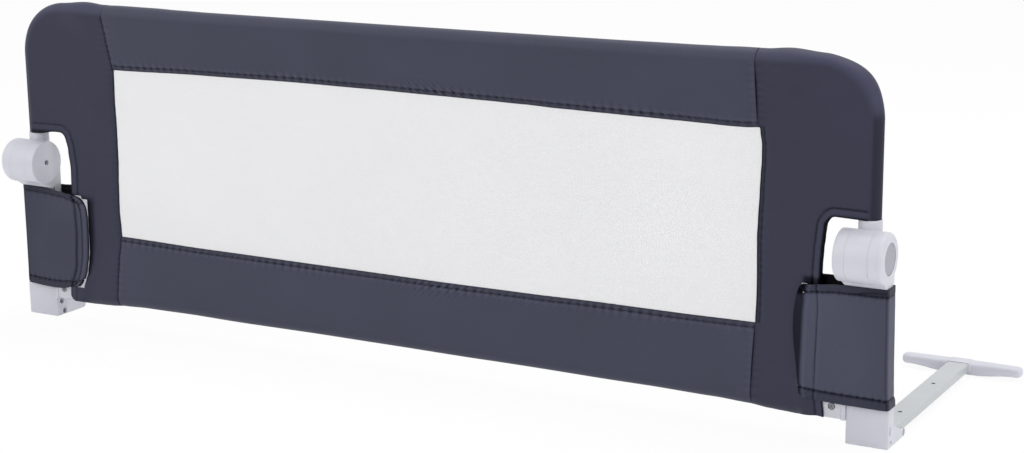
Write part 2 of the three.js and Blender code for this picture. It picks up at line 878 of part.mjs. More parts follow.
// A tapering pad between a round sleeve and the flat seam beside the window.
function padAlongX([x0, x1], [sleeveY, sleeveZ], radius, seamZ) {
  return hullOf([x0, x1].flatMap((x) => [
    ...circlePoints(radius, (u, v) => new THREE.Vector3(x, sleeveY + u, sleeveZ + v)),
    new THREE.Vector3(x, tubeDepth - seamHalf, seamZ),
    new THREE.Vector3(x, tubeDepth + seamHalf, seamZ),
  ]));
}

function padAlongZ([z0, z1], [sleeveX, sleeveY], radius, seamX) {
  return hullOf([z0, z1].flatMap((z) => [
    ...circlePoints(radius, (u, v) => new THREE.Vector3(sleeveX + u, sleeveY + v, z)),
    new THREE.Vector3(seamX, tubeDepth - seamHalf, z),
    new THREE.Vector3(seamX, tubeDepth + seamHalf, z),
  ]));
}

function circlePoints(radius, place) {
  const points = [];
  for (let i = 0; i < tubeSides; i += 1) {
    const angle = (i / tubeSides) * 2 * Math.PI;
    points.push(place(radius * Math.cos(angle), radius * Math.sin(angle)));
  }
  return points;
}

function hullOf(points) {
  return toSolid(new ConvexGeometry(points));
}

// The outline of one side panel seen from the front, with its notch round the hinge.
function sidePanelOutline() {
  const corner = bendRadius;
  const outline = new THREE.Shape();
  outline.moveTo(seamHalfSpan + clearance, hemBottom + hemRise);
  const hemCurveEnd = notchHalfSpan - hemStraight;
  outline.quadraticCurveTo((seamHalfSpan + hemCurveEnd) / 2, hemBottom, hemCurveEnd, hemBottom);
  outline.lineTo(notchHalfSpan, hemBottom);
  const notchCurve = [notchHalfSpan + notchRound, notchTop - notchRound];
  outline.lineTo(notchHalfSpan, notchCurve[1]);
  outline.absarc(...notchCurve, notchRound, Math.PI, Math.PI / 2, true);
  outline.lineTo(uprightX, notchTop);
  outline.lineTo(uprightX, hoopHeight - corner);
  outline.absarc(uprightX - corner, hoopHeight - corner, corner, 0, Math.PI / 2, false);
  outline.lineTo(seamHalfSpan + clearance, hoopHeight);
  return outline;
}

function makeSidePanel() {
  const depths = [tubeDepth - 2 * sleeveRadius, tubeDepth + 2 * sleeveRadius];
  const face = prismY(sidePanelOutline(), depths);
  const seam = seamHalfSpan + clearance;
  const rail = [tubeDepth, hoopHeight];
  const bar = [crossbarDepth, crossbarHeight];
  const tall = padAlongZ([hemBottom, hoopHeight], [uprightX, tubeDepth], sleeveRadius, seam);
  const top = padAlongX([seam, uprightX], rail, sleeveRadius, windowTop);
  const low = padAlongX([seam, notchHalfSpan], bar, lowSleeveRadius, windowBottom);
  const socketHalf = socketDepth / 2;
  const capHalf = socketHalf + clothAllowance;
  const socketCap = box(
    [socketInner - clothAllowance, notchHalfSpan],
    [crossbarDepth - capHalf, crossbarDepth + capHalf],
    [hemBottom, socketTop + clothAllowance],
  );
  const sleeve = sweep(hoopRun(notchTop, seam), sleeveRadius);
  const crossbarSleeve = rodX(lowSleeveRadius, bar, [seam, notchHalfSpan]);
  const filled = joined([face.intersect(joined([tall, top, low])), socketCap, sleeve, crossbarSleeve]);
  const socketBay = box(
    [socketInner - clearance, notchHalfSpan + overrun],
    [crossbarDepth - socketHalf - clearance, crossbarDepth + socketHalf + clearance],
    [hemBottom - overrun, socketTop + clearance],
  );
  return cutBy(filled, [
    sweep(hoopRun(notchTop - overrun, jointX), tubeRadius + clearance),
    rodX(crossbarRadius + clearance, bar, [jointX, socketOuter]),
    socketBay,
  ]);
}

function upperPart(solid, [x0, x1]) {
  const keep = [foldHeight + clearance, hoopHeight + 2 * sleeveRadius];
  return solid.intersect(box([x0, x1], [-blockWidth, blockWidth], keep));
}

function lowerPart(solid, [x0, x1]) {
  return solid.intersect(box([x0, x1], [-blockWidth, blockWidth], [0, foldHeight - clearance]));
}

function makeTopStrip() {
  const span = [-seamHalfSpan, seamHalfSpan];
  const pad = padAlongX(span, [tubeDepth, hoopHeight], sleeveRadius, windowTop);
  const overlong = [-seamHalfSpan - overrun, seamHalfSpan + overrun];
  return pad.subtract(rodX(tubeRadius + clearance, [tubeDepth, hoopHeight], overlong));
}

function makeBottomStrip() {
  const span = [-seamHalfSpan, seamHalfSpan];
  const pad = padAlongX(span, [crossbarDepth, crossbarHeight], lowSleeveRadius, windowBottom);
  const overlong = [-seamHalfSpan - overrun, seamHalfSpan + overrun];
  return pad.subtract(rodX(crossbarRadius + clearance, [crossbarDepth, crossbarHeight], overlong));
}

function makeWindow([z0, z1]) {
  return box(
    [-seamHalfSpan, seamHalfSpan],
    [tubeDepth - meshThickness / 2, tubeDepth + meshThickness / 2],
    [z0, z1],
  );
}

// The space that the pocket wraps, grown by one skin: it widens from the column down to the block.
function pocketForm(start, skin, past) {
  const lean = (blockOuter - columnOuter) / (pocketOuterTop - pocketBottom);
  const depths = [columnFront - clearance - skin, blockDepth + clearance + skin];
  const round = pocketRound - pocketThickness + skin;
  const rings = [
    [pocketBottom - past, blockOuter + lean * past],
    [pocketOuterTop + past, columnOuter - lean * past],
  ];
  return hullOf(rings.flatMap(([z, face]) => {
    const outline = roundedRect([start, face + clearance + skin], depths, round);
    return outline.getPoints(arcSegments).map(({ x, y }) => new THREE.Vector3(x, y, z));
  }));
}

// The pocket: a band from the panel's back round the column, and along the front to its tip.
function makePocket() {
  const outside = pocketForm(pocketTip, pocketThickness, 0);
  const inside = pocketForm(pocketTip - blockWidth, 0, overrun);
  const band = outside.subtract(inside);
  const depths = [columnFront - clearance - pocketThickness, blockDepth + clearance + pocketThickness];
  const backDepths = [blockDepth / 2, blockDepth + overrun];
  const panelEdge = notchHalfSpan + clearance;
  const aboveSocket = socketTop + clothAllowance + clearance;
  const behindPanel = box(
    [pocketTip - overrun, panelEdge],
    backDepths,
    [pocketBottom - overrun, pocketOuterTop + overrun],
  );
  const behindSocket = box(
    [pocketTip - overrun, blockInner],
    backDepths,
    [pocketBottom - overrun, aboveSocket],
  );
  const slope = prismY(
    polygon([
      [pocketTip - overrun, pocketTipTop],
      [columnOuter, pocketOuterTop],
      [columnOuter, pocketOuterTop + overrun],
      [pocketTip - overrun, pocketOuterTop + overrun],
    ]),
    [depths[0] - overrun, 0],
  );
  return cutBy(band, [behindPanel, behindSocket, slope]);
}

// Front surface of the side panel at a distance from the middle.
function panelFront(x) {
  const share = (x - seamHalfSpan) / (uprightX - seamHalfSpan);
  return tubeDepth - (seamHalf + share * (sleeveRadius - seamHalf));
}

function makeClosingStrip() {
  const stripOuter = stripInner + stripWidth;
  const seat = panelFront(stripOuter) - clearance;
  return box(
    [stripInner, stripOuter],
    [seat - stripThickness, seat],
    [socketTop + clothAllowance + clearance, stripTop],
  );
}

// All pieces of the right end, each with the look it has.
function endPieces() {
  const block = makeBlock();
  const outerHalf = blockHalf(block, [blockMiddle + clearance / 2, blockOuter + overrun]);
  const innerHalf = blockHalf(block, [blockInner - overrun, blockMiddle - clearance / 2]);
  const sidePanel = makeSidePanel();
  const beyond = [seamHalfSpan, blockOuter];
  const screws = Object.entries(blockScrewPlaces).map(([place, at]) => [
    `block_screw_${place}`,
    makeBlockScrew(at),
    bareSteel,
  ]);
  return [
    ["base_block_outer", outerHalf, plastic],
    ["base_block_inner", innerHalf, plastic],
    ...screws,
    ["heel_bolt", makeHeelBolt(), buttonPlastic],
    ["leg_pin", makeLegPin(), bareSteel],
    ["hinge_column", makeHingeColumn(), plastic],
    ["hinge_head", makeHingeHead(), plastic],
    ["hinge_axle", makeAxle(), bareSteel],
    ["axle_screw", makeAxleScrew(), bareSteel],
    ["release_button", makeButton(), buttonPlastic],
    ["lock_ring", makeLockRing(), plastic],
    ["button_spring", makeButtonSpring(), bareSteel],
    ["leg", makeLeg(), paintedSteel],
    ["leg_foot", makeFoot(), plastic],
    ["foot_screw", makeFootScrew(), bareSteel],
    ["crossbar_socket", makeSocket(), plastic],
    ["socket_screw", makeSocketScrew(), bareSteel],
    ["side_tube", makeSideTube(), paintedSteel],
    ["cover_side_upper", upperPart(sidePanel, beyond), clothSide],
    ["cover_side_lower", lowerPart(sidePanel, beyond), clothSide],
    ["pocket", makePocket(), clothStrip],
    ["closing_strip", makeClosingStrip(), hookStrip],
  ];
}

function addEnds(rail) {
  const pieces = endPieces().map(([name, solid, look]) => [name, toGeometry(solid), look]);
  [["left", -1], ["right", 1]].forEach(([sideName, direction]) => {
    const end = new THREE.Group();
    end.scale.x = direction;
    pieces.forEach(([name, geometry, look]) => {
      end.add(makeMesh(`${name}_${sideName}`, geometry, look));
    });
    rail.add(end);
  });
}

function addMiddle(rail) {
  const middle = [
    ["top_tube", makeTopTube(), paintedSteel],
    ["crossbar", makeCrossbar(), paintedSteel],
    ["cover_top", makeTopStrip(), clothStrip],
    ["cover_bottom", makeBottomStrip(), clothStrip],
    ["mesh_upper", makeWindow([foldHeight + clearance, windowTop - clearance]), meshCloth],
    ["mesh_lower", makeWindow([windowBottom + clearance, foldHeight - clearance]), meshCloth],
  ];
  middle.forEach(([name, solid, look]) => rail.add(makeMesh(name, toGeometry(solid), look)));
}

const group = new THREE.Group();
const rail = new THREE.Group();
rail.position.y = -(frontFace + backFace) / 2;
addEnds(rail);
addMiddle(rail);
group.add(rail);

export default group;
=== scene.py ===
import math

import bmesh
import bpy
from bpy.props import FloatProperty, FloatVectorProperty, IntProperty, PointerProperty
from mathutils import Matrix, Vector


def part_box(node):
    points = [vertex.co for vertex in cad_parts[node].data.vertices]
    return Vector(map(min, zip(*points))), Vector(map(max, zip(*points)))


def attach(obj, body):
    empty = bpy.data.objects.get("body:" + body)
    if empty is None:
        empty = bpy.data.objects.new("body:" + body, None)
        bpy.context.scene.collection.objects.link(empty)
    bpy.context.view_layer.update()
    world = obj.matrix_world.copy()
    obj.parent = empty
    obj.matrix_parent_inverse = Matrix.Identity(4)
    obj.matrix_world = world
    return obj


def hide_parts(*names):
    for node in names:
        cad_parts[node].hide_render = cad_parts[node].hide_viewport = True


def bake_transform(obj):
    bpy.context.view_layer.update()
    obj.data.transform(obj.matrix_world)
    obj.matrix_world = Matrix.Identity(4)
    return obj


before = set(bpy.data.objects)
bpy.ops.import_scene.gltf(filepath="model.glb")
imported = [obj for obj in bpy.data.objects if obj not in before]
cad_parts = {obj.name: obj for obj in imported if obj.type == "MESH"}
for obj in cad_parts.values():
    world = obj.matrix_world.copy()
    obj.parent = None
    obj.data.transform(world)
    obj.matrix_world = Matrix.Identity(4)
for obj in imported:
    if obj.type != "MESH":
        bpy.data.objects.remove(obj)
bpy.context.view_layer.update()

bl_info = {
    "name": "Folding bed guard rail",
    "version": (1, 0, 0),
    "blender": (4, 5, 0),
    "location": "3D View > Sidebar > Guard Rail",
    "description": "Dresses the packed guard rail in cloth, moulded plastic and painted steel",
    "category": "Object",
}

# Places are given in millimetres. Depths count from the front of the base blocks, backwards.
MM = 0.001
BLOCK_LOW, BLOCK_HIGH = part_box("base_block_outer_right")
FRONT_OF_BLOCKS = BLOCK_LOW[1] / MM

RAIL_HALF = BLOCK_HIGH[0] / MM
BLOCK_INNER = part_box("base_block_inner_right")[0][0] / MM
UPRIGHT_X = 574.5
TUBE_Y = 7.0
HOOP_Z = 409.0
BEND_RADIUS = 55.0
SLEEVE_RADIUS = 12.4
SEAM_X = 446.0
SEAM_FRONT_Y = 5.2
SEAM_BACK_Y = 8.8
WINDOW_TOP_Z = 340.0
WINDOW_BOTTOM_Z = 120.0
CROSSBAR_Y = 9.5
CROSSBAR_Z = 41.5
LOW_SLEEVE_RADIUS = 10.9
NOTCH_X = 524.0
NOTCH_TOP_Z = 249.9
HEM_WIDTH = 9.2
HEM_Z = 27.0
FOLD_Y = -10.2
FOLD_Z = 212.5
DRUM_RADIUS = 28.4
LEG_X = 589.0
FOOT_Y = 308.0
LEG_HOLES = ((588.4, 82.8), (588.4, 199.6))
BLOCK_SCREWS = ((12.0, 33.0), (9.5, 19.1), (14.4, 4.8))

SIDES = (("left", -1), ("right", 1))


def spot(x, y, z):
    """A place in millimetres as a point of the frame in metres."""
    return Vector((x * MM, (y + FRONT_OF_BLOCKS) * MM, z * MM))


def ramp(value, start, end):
    """0 before start, 1 after end, and a smooth rise between them."""
    share = min(1.0, max(0.0, (value - start) / (end - start)))
    return share * share * (3 - 2 * share)


def hill(value, middle, width):
    """A soft rise of height 1 about the middle."""
    return math.exp(-(((value - middle) / width) ** 2))


def along(value, stops):
    """A value between measured stops, given as pairs of place and value."""
    if value <= stops[0][0]:
        return stops[0][1]
    for (a, low), (b, high) in zip(stops, stops[1:]):
        if value <= b:
            share = (value - a) / (b - a)
            return low + (high - low) * share
    return stops[-1][1]


def smooth_along(value, stops):
    """Like along, with soft turns at the stops."""
    if value <= stops[0][0]:
        return stops[0][1]
    for (a, low), (b, high) in zip(stops, stops[1:]):
        if value <= b:
            return low + (high - low) * ramp(value, a, b)
    return stops[-1][1]


def crowded(count, length, lines, reach=2.4, extra=2.2):
    """Places along a length that stand closer together near its stitched lines."""
    parts = 600
    total = [0.0]
    for k in range(parts):
        at = (k + 0.5) / parts * length
        total.append(total[-1] + 1 + extra * max(hill(at, line, reach) for line in lines))
    places, k = [], 0
    for n in range(count + 1):
        goal = total[-1] * n / count
        while k < parts - 1 and total[k + 1] < goal:
            k += 1
        places.append((k + (goal - total[k]) / (total[k + 1] - total[k])) / parts * length)
    return places


# Meshes

def piece_from(bm, name, finishes, crease=40.0):
    """A finished piece from a bmesh, at the origin, with soft shading except over sharp edges."""
    mesh = bpy.data.meshes.new(name)
    bm.to_mesh(mesh)
    bm.free()
    for finish in finishes:
        mesh.materials.append(finish)
    mesh.shade_smooth()
    mesh.set_sharp_from_angle(angle=math.radians(crease))
    piece = bpy.data.objects.new(name, mesh)
    bpy.context.scene.collection.objects.link(piece)
    return piece


def turned_outwards(bm):
    """Doubles merged and every face of a closed shell pointing out."""
    bmesh.ops.remove_doubles(bm, verts=bm.verts, dist=1e-6)
    bmesh.ops.recalc_face_normals(bm, faces=bm.faces)


def carved(piece, cutters, crossing=True):
    """Cuts closed shapes out of a piece's mesh, and joins its own shells where they cross."""
    scene = bpy.context.scene
    for number, bm in enumerate(cutters):
        turned_outwards(bm)
        mesh = bpy.data.meshes.new(f"cutter_{number}")
        bm.to_mesh(mesh)
        bm.free()
        cutter = bpy.data.objects.new(f"cutter_{number}", mesh)
        scene.collection.objects.link(cutter)
        cut = piece.modifiers.new("cut", "BOOLEAN")
        cut.operation = "DIFFERENCE"
        cut.solver = "EXACT"
        cut.use_self = crossing and number == 0
        cut.object = cutter
        bpy.context.view_layer.update()
        graph = bpy.context.evaluated_depsgraph_get()
        result = bpy.data.meshes.new_from_object(piece.evaluated_get(graph))
        piece.modifiers.remove(cut)
        old = piece.data
        piece.data = result
        result.name = piece.name
        bpy.data.meshes.remove(old)
        bpy.data.objects.remove(cutter)
        bpy.data.meshes.remove(mesh)
    piece.data.shade_smooth()
    piece.data.set_sharp_from_angle(angle=math.radians(35))
    return piece


def add_box(bm, xs, ys, zs, chosen=None, radius=0.0, segments=4):
    """A box between two places on each axis, with chosen edges rounded."""
    middle = spot((xs[0] + xs[1]) / 2, (ys[0] + ys[1]) / 2, (zs[0] + zs[1]) / 2)
    size = Vector((xs[1] - xs[0], ys[1] - ys[0], zs[1] - zs[0])) * MM
    shape = Matrix.Translation(middle) @ Matrix.Diagonal((*size, 1))
    made = bmesh.ops.create_cube(bm, size=1, matrix=shape)
    if radius > 0:
        edges = {edge for vert in made["verts"] for edge in vert.link_edges}
        picked = [edge for edge in edges if chosen is None or chosen(edge)]
        round_edges(bm, picked, radius, segments)
    return made["verts"]


def round_edges(bm, edges, radius, segments=4):
    bmesh.ops.bevel(bm, geom=list(edges), offset=radius * MM, offset_type="OFFSET", affect="EDGES",
                    segments=segments, profile=0.5, material=-1, clamp_overlap=True)


def runs_along(axis):
    """Picks the edges of a box that run along one axis."""
    def test(edge):
        step = edge.verts[1].co - edge.verts[0].co
        return abs(step[axis]) > 0.9 * step.length
    return test


def add_turned(bm, profile, centre, axis, steps=64):
    """A turned shape: pairs of place along the axis and radius, spun about the axis through the centre."""
    forwards = Vector(axis)
    across = Vector((0, 0, 1)) if abs(forwards.z) < 0.5 else Vector((1, 0, 0))
    verts = [bm.verts.new(centre + forwards * (place * MM) + across * (radius * MM))
             for place, radius in profile]
    edges = [bm.edges.new(pair) for pair in zip(verts, verts[1:])]
    bmesh.ops.spin(bm, geom=verts + edges, cent=centre, axis=axis, angle=2 * math.pi, steps=steps,
                   use_merge=True)


def rounded_profile(places, radius, near=0.0, far=0.0, steps=6):
    """The profile of a solid disc between two places, with its two rims rounded."""
    start, end = places

    def rim(edge, inwards, size):
        if size == 0:
            return [(edge, radius)]
        angles = [k / steps * math.pi / 2 for k in range(steps + 1)]
        return [(edge + inwards * size * (1 - math.sin(angle)), radius - size * (1 - math.cos(angle)))
                for angle in angles]

    return [(start, 0.0), *rim(start, 1, near)[::-1], *rim(end, -1, far), (end, 0.0)]


def add_prism(bm, outline, along_x):
    """An outline in depth and height, drawn out along the rail between two places."""
    verts = [bm.verts.new(spot(along_x[0], y, z)) for y, z in outline]
    face = bm.faces.new(verts)
    made = bmesh.ops.extrude_face_region(bm, geom=[face])
    moved = [item for item in made["geom"] if isinstance(item, bmesh.types.BMVert)]
    bmesh.ops.translate(bm, vec=((along_x[1] - along_x[0]) * MM, 0, 0), verts=moved)
    return verts + moved


def cloth_grid(columns, rows, place, flat, keep=None):
    """A sheet of cloth: a grid whose corners are taken to their places, with its flat cut kept as a UV map
    and its painted shade and highlight, from -1 for painted shade in a groove to 1 for a painted highlight
    on a ridge, kept as an attribute."""
    bm = bmesh.new()
    painted_light = bm.verts.layers.float.new("painted_light")
    bmesh.ops.create_grid(bm, x_segments=columns, y_segments=rows, size=1)
    weave = bm.loops.layers.uv.new("cloth")
    count = {vert: (round((vert.co.x + 1) / 2 * columns), round((vert.co.y + 1) / 2 * rows))
             for vert in bm.verts}
    if keep is not None:
        spare = [face for face in bm.faces
                 if not keep(*(min(count[vert][way] for vert in face.verts) for way in (0, 1)))]
        bmesh.ops.delete(bm, geom=spare, context="FACES")
    for face in bm.faces:
        for loop in face.loops:
            loop[weave].uv = flat(*count[loop.vert])
    for vert in bm.verts:
        x, y, z, painted_shading = place(*count[vert])
        vert.co = spot(x, y, z)
        vert[painted_light] = painted_shading
    return bm


def face_towards(bm, near, direction):
    """Turns a sheet over if the face nearest to a point looks the wrong way."""
    bm.faces.ensure_lookup_table()
    bm.normal_update()
    target = spot(*near)
    nearest = min(bm.faces, key=lambda face: (face.calc_center_median() - target).length_squared)
    if nearest.normal.dot(Vector(direction)) < 0:
        bmesh.ops.reverse_faces(bm, faces=bm.faces)


def thicken(piece, thickness, inner_slot=0):
    """Gives a sheet the thickness of its cloth; the inner side may take another of its finishes."""
    solid = piece.modifiers.new("cloth thickness", "SOLIDIFY")
    solid.thickness = thickness * MM
    solid.offset = 0
    solid.material_offset = inner_slot
    solid.material_offset_rim = inner_slot
    return solid


def take_place(piece, body, slot, *nodes):
    """Lets a piece move with a body, instead of the frame's plain nodes, which it hides; its slot is not
    used.
    """
    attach(piece, body)
    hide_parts(*nodes)


def bend_between(piece, bodies, start, end, slot, *nodes):
    """Bakes a piece's place into its mesh and hides the frame's plain nodes it stands in for; it is not
    attached to the two bodies, and its start, end and slot are not used.
    """
    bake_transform(piece)
    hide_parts(*nodes)


def set_at_both_ends(piece, body, slot, node):
    """Gives the right end's piece its place, and makes its mirror image for the left end."""
    stem = piece.name
    bm = bmesh.new()
    bm.from_mesh(piece.data)
    bmesh.ops.scale(bm, vec=(-1, 1, 1), verts=bm.verts)
    turned_outwards(bm)
    image = piece_from(bm, f"{stem}_left", list(piece.data.materials), 35)
    piece.name = f"{stem}_right"
    for end, made in (("left", image), ("right", piece)):
        take_place(made, body.replace("END", end), slot, f"{node}_{end}")


# Finishes

def linear(colour):
    """A screen colour from 0 to 255 as the light it stands for."""
    def channel(value):
        share = value / 255
        return share / 12.92 if share <= 0.04045 else ((share + 0.055) / 1.055) ** 2.4
    return tuple(channel(value) for value in colour) + (1.0,)


def shaded(colour, share):
    """A linear colour made darker or lighter."""
    return tuple(min(1.0, value * share) for value in colour[:3]) + (1.0,)


WHITE = (1, 1, 1, 1)


class NodeTree:
    """A tree of shader nodes under construction, with short words for its nodes."""

    def __init__(self, tree):
        self.tree = tree

    def node(self, kind, **values):
        made = self.tree.nodes.new(kind)
        for key, value in values.items():
            setattr(made, key, value)
        return made

    def link(self, source, target):
        self.tree.links.new(source, target)

    def math(self, operation, first, second=None):
        made = self.node("ShaderNodeMath", operation=operation)
        for socket, value in zip(made.inputs, (first, second)):
            if value is None:
                continue
            if isinstance(value, (int, float)):
                socket.default_value = value
            else:
                self.link(value, socket)
        return made.outputs[0]

    def seen_directly(self):
        """One for what the camera sees itself, in a shiny surface or through something clear."""
        rays = self.node("ShaderNodeLightPath").outputs
        either = self.math("MAXIMUM", rays["Is Camera Ray"], rays["Is Glossy Ray"])
        return self.math("MAXIMUM", either, rays["Is Transmission Ray"])

    def mixed(self, share, first, second, output):
        """Sends a mix of two shaders to the output's surface."""
        mix = self.node("ShaderNodeMixShader")
        for source, socket in zip((share, first, second), mix.inputs):
            self.link(source, socket)
        self.link(mix.outputs["Shader"], output.inputs["Surface"])


class Finish(NodeTree):
    """A material under construction."""

    def __init__(self, name):
        self.material = bpy.data.materials.new(name)
        self.material.use_nodes = True
        super().__init__(self.material.node_tree)
        self.shader = next(node for node in self.tree.nodes if node.type == "BSDF_PRINCIPLED")

    def coordinates(self, kind, scale=(1, 1, 1)):
        source = self.node("ShaderNodeTexCoord").outputs[kind]
        mapping = self.node("ShaderNodeMapping")
        mapping.inputs["Scale"].default_value = scale
        self.link(source, mapping.inputs["Vector"])
        return mapping.outputs["Vector"]

    def noise(self, place, scale, detail=2.0, roughness=0.5):
        made = self.node("ShaderNodeTexNoise")
        made.inputs["Scale"].default_value = scale
        made.inputs["Detail"].default_value = detail
        made.inputs["Roughness"].default_value = roughness
        self.link(place, made.inputs["Vector"])
        return made.outputs["Fac"]

    def between(self, value, low, high, start=0.0, end=1.0, kind="LINEAR"):
        """A number that runs from low to high as the value runs from start to end."""
        made = self.node("ShaderNodeMapRange", interpolation_type=kind)
        for socket, number in (("From Min", start), ("From Max", end), ("To Min", low), ("To Max", high)):
            made.inputs[socket].default_value = number
        self.link(value, made.inputs["Value"])
        return made.outputs["Result"]

    def stops(self, share, stops):
        """A colour ramp with stops given as pairs of place and colour."""
        made = self.node("ShaderNodeValToRGB")
        elements = made.color_ramp.elements
        while len(elements) < len(stops):
            elements.new(0.5)
        for element, (place, colour) in zip(elements, stops):
            element.position = place
            element.color = colour
        self.link(share, made.inputs["Fac"])
        return made.outputs["Color"]

    def shades(self, share, colour, dark, light, start=0.3, end=0.7):
        """A colour between a darker and a lighter shade of itself."""
        return self.stops(share, [(start, shaded(colour, dark)), (end, shaded(colour, light))])

    def threads(self, pitches):
        """Waves along the cloth's own two directions, with their pitches in millimetres."""
        parts = self.node("ShaderNodeSeparateXYZ")
        self.link(self.coordinates("UV", (1 / MM, 1 / MM, 1 / MM)), parts.inputs["Vector"])
        return [self.math("MULTIPLY", parts.outputs[way], 2 * math.pi / pitch)
                for way, pitch in zip("XY", pitches)]

    def surface(self, **sockets):
        """Links or sets the shader's sockets, named with underscores."""
        for name, value in sockets.items():
            socket = self.shader.inputs[name.replace("_", " ")]
            if isinstance(value, (int, float, tuple)):
                socket.default_value = value
            else:
                self.link(value, socket)
        return self.material

    def multiplied(self, first, second):
        """Two colours multiplied."""
        mix = self.node("ShaderNodeMix", data_type="RGBA", blend_type="MULTIPLY")
        mix.inputs["Factor"].default_value = 1
        self.link(first, mix.inputs["A"])
        self.link(second, mix.inputs["B"])
        return mix.outputs["Result"]

    def bump(self, height, depth_mm, below=None, strength=1.0):
        made = self.node("ShaderNodeBump")
        made.inputs["Strength"].default_value = strength
        made.inputs["Distance"].default_value = depth_mm * MM
        self.link(height, made.inputs["Height"])
        if below is not None:
            self.link(below, made.inputs["Normal"])
        return made.outputs["Normal"]


# Painted shade and highlight: how far the cloth's colour is darkened or lightened by the sheet's attribute,
# from -1 for painted shade to 1 for a painted highlight.
PAINTED_SHADING_STOPS = [
    (0.0, (0.02, 0.02, 0.03, 1)),
    (0.25, (0.3, 0.3, 0.34, 1)),
    (0.5, (1, 1, 1, 1)),
    (0.75, (1.55, 1.55, 1.58, 1)),
    (1.0, (2.2, 2.2, 2.25, 1)),
]


def woven_cloth(name, colour, thread_mm):
    """A smooth plain-woven nylon: fine crossing threads, a soft sheen and slight unevenness in its dye,
    with painted shade and highlights taken from the sheet's attribute.
    """
    finish = Finish(name)
    base = linear(colour)
    warp, weft = (finish.math("SINE", wave) for wave in finish.threads((2 * thread_mm, 2 * thread_mm)))
    weave = finish.between(finish.math("MULTIPLY", warp, weft), 0.3, 0.7)
    place = finish.coordinates("Object")
    cloudy = finish.noise(place, 9, 3)
    dye = finish.shades(cloudy, base, 0.93, 1.07)
    speck_shades = [(0.3, (0.93, 0.93, 0.93, 1)), (0.7, (1.06, 1.06, 1.07, 1))]
    speck = finish.stops(finish.noise(place, 900, 2), speck_shades)
    # Painted shade and highlight from the sheet's attribute: it darkens the colour in grooves, seams and
    # shaded places, lightens it on ridges and crests, and dims the specular where shade is painted.
    painted_light = finish.node("ShaderNodeAttribute", attribute_name="painted_light").outputs["Fac"]
    painted_shading_tint = finish.stops(finish.between(painted_light, 0.0, 1.0, -1.0, 1.0), PAINTED_SHADING_STOPS)
    soft = finish.bump(finish.noise(place, 70, 3, 0.6), 0.5)
    return finish.surface(
        Base_Color=finish.multiplied(finish.multiplied(dye, speck), painted_shading_tint),
        Specular_IOR_Level=finish.between(painted_light, 0.03, 0.32, -0.8, 0.0),
        Roughness=finish.between(cloudy, 0.5, 0.62),
        Normal=finish.bump(weave, 0.03, soft),
        Sheen_Weight=0.03,
        Sheen_Roughness=0.4,
    )


def moulded_plastic(name, colour, roughness=0.42):
    """Satin moulded plastic: a faint grain from the tool and slight clouding."""
    finish = Finish(name)
    place = finish.coordinates("Object")
    grain = finish.noise(place, 2600, 1)
    flow = finish.bump(finish.noise(place, 130, 2), 0.05)
    return finish.surface(
        Base_Color=finish.shades(finish.noise(place, 22, 2), linear(colour), 0.975, 1.02),
        Roughness=finish.between(grain, roughness - 0.05, roughness + 0.07),
        Normal=finish.bump(grain, 0.02, flow),
        Specular_IOR_Level=0.5,
    )


def coated_steel(name, colour, roughness=0.36):
    """Powder coat on steel: the soft orange peel of a baked coat."""
    finish = Finish(name)
    place = finish.coordinates("Object")
    peel = finish.noise(place, 700, 2)
    return finish.surface(
        Base_Color=finish.shades(finish.noise(place, 16, 2), linear(colour), 0.97, 1.02),
        Roughness=finish.between(peel, roughness - 0.06, roughness + 0.06),
        Normal=finish.bump(peel, 0.03),
        Coat_Weight=0.15,
        Coat_Roughness=0.25,
    )


def plated_steel(name, colour):
    """Plated steel with fine turning marks."""
    finish = Finish(name)
    marks = finish.noise(finish.coordinates("Object", (1, 6, 1)), 900, 3)
    return finish.surface(
        Base_Color=finish.shades(marks, linear(colour), 0.85, 1.0),
        Roughness=finish.between(marks, 0.24, 0.4),
        Normal=finish.bump(marks, 0.01),
        Metallic=1.0,
    )


def knitted_mesh(name, colour, pitch_mm):
    """A fine white knitted net: rows of small open eyes between yarns."""
    finish = Finish(name)
    rows_per_eye = 0.577
    waves = finish.threads((pitch_mm, pitch_mm / rows_per_eye))
    across, upwards = (finish.math("COSINE", wave) for wave in waves)
    eyes = finish.between(finish.math("MULTIPLY", across, upwards), 0.0, 1.0)
    cloudy = finish.noise(finish.coordinates("Object"), 5, 2)
    return finish.surface(
        Alpha=finish.between(eyes, 1.0, 0.15, 0.62, 0.86, "SMOOTHSTEP"),
        Base_Color=finish.shades(cloudy, linear(colour), 0.98, 1.01),
        Roughness=finish.between(cloudy, 0.75, 0.9),
        Normal=finish.bump(eyes, 0.15),
    )


def hook_and_loop(name, colour):
    """The pile of a closing strip: dense tiny hooks."""
    finish = Finish(name)
    pile = finish.noise(finish.coordinates("Object"), 1400, 2, 0.7)
    return finish.surface(
        Base_Color=finish.shades(pile, linear(colour), 0.8, 1.0, 0.35, 0.65),
        Roughness=finish.between(pile, 0.7, 0.95),
        Normal=finish.bump(pile, 0.4),
        Sheen_Weight=0.2,
    )


FINISHES = {}


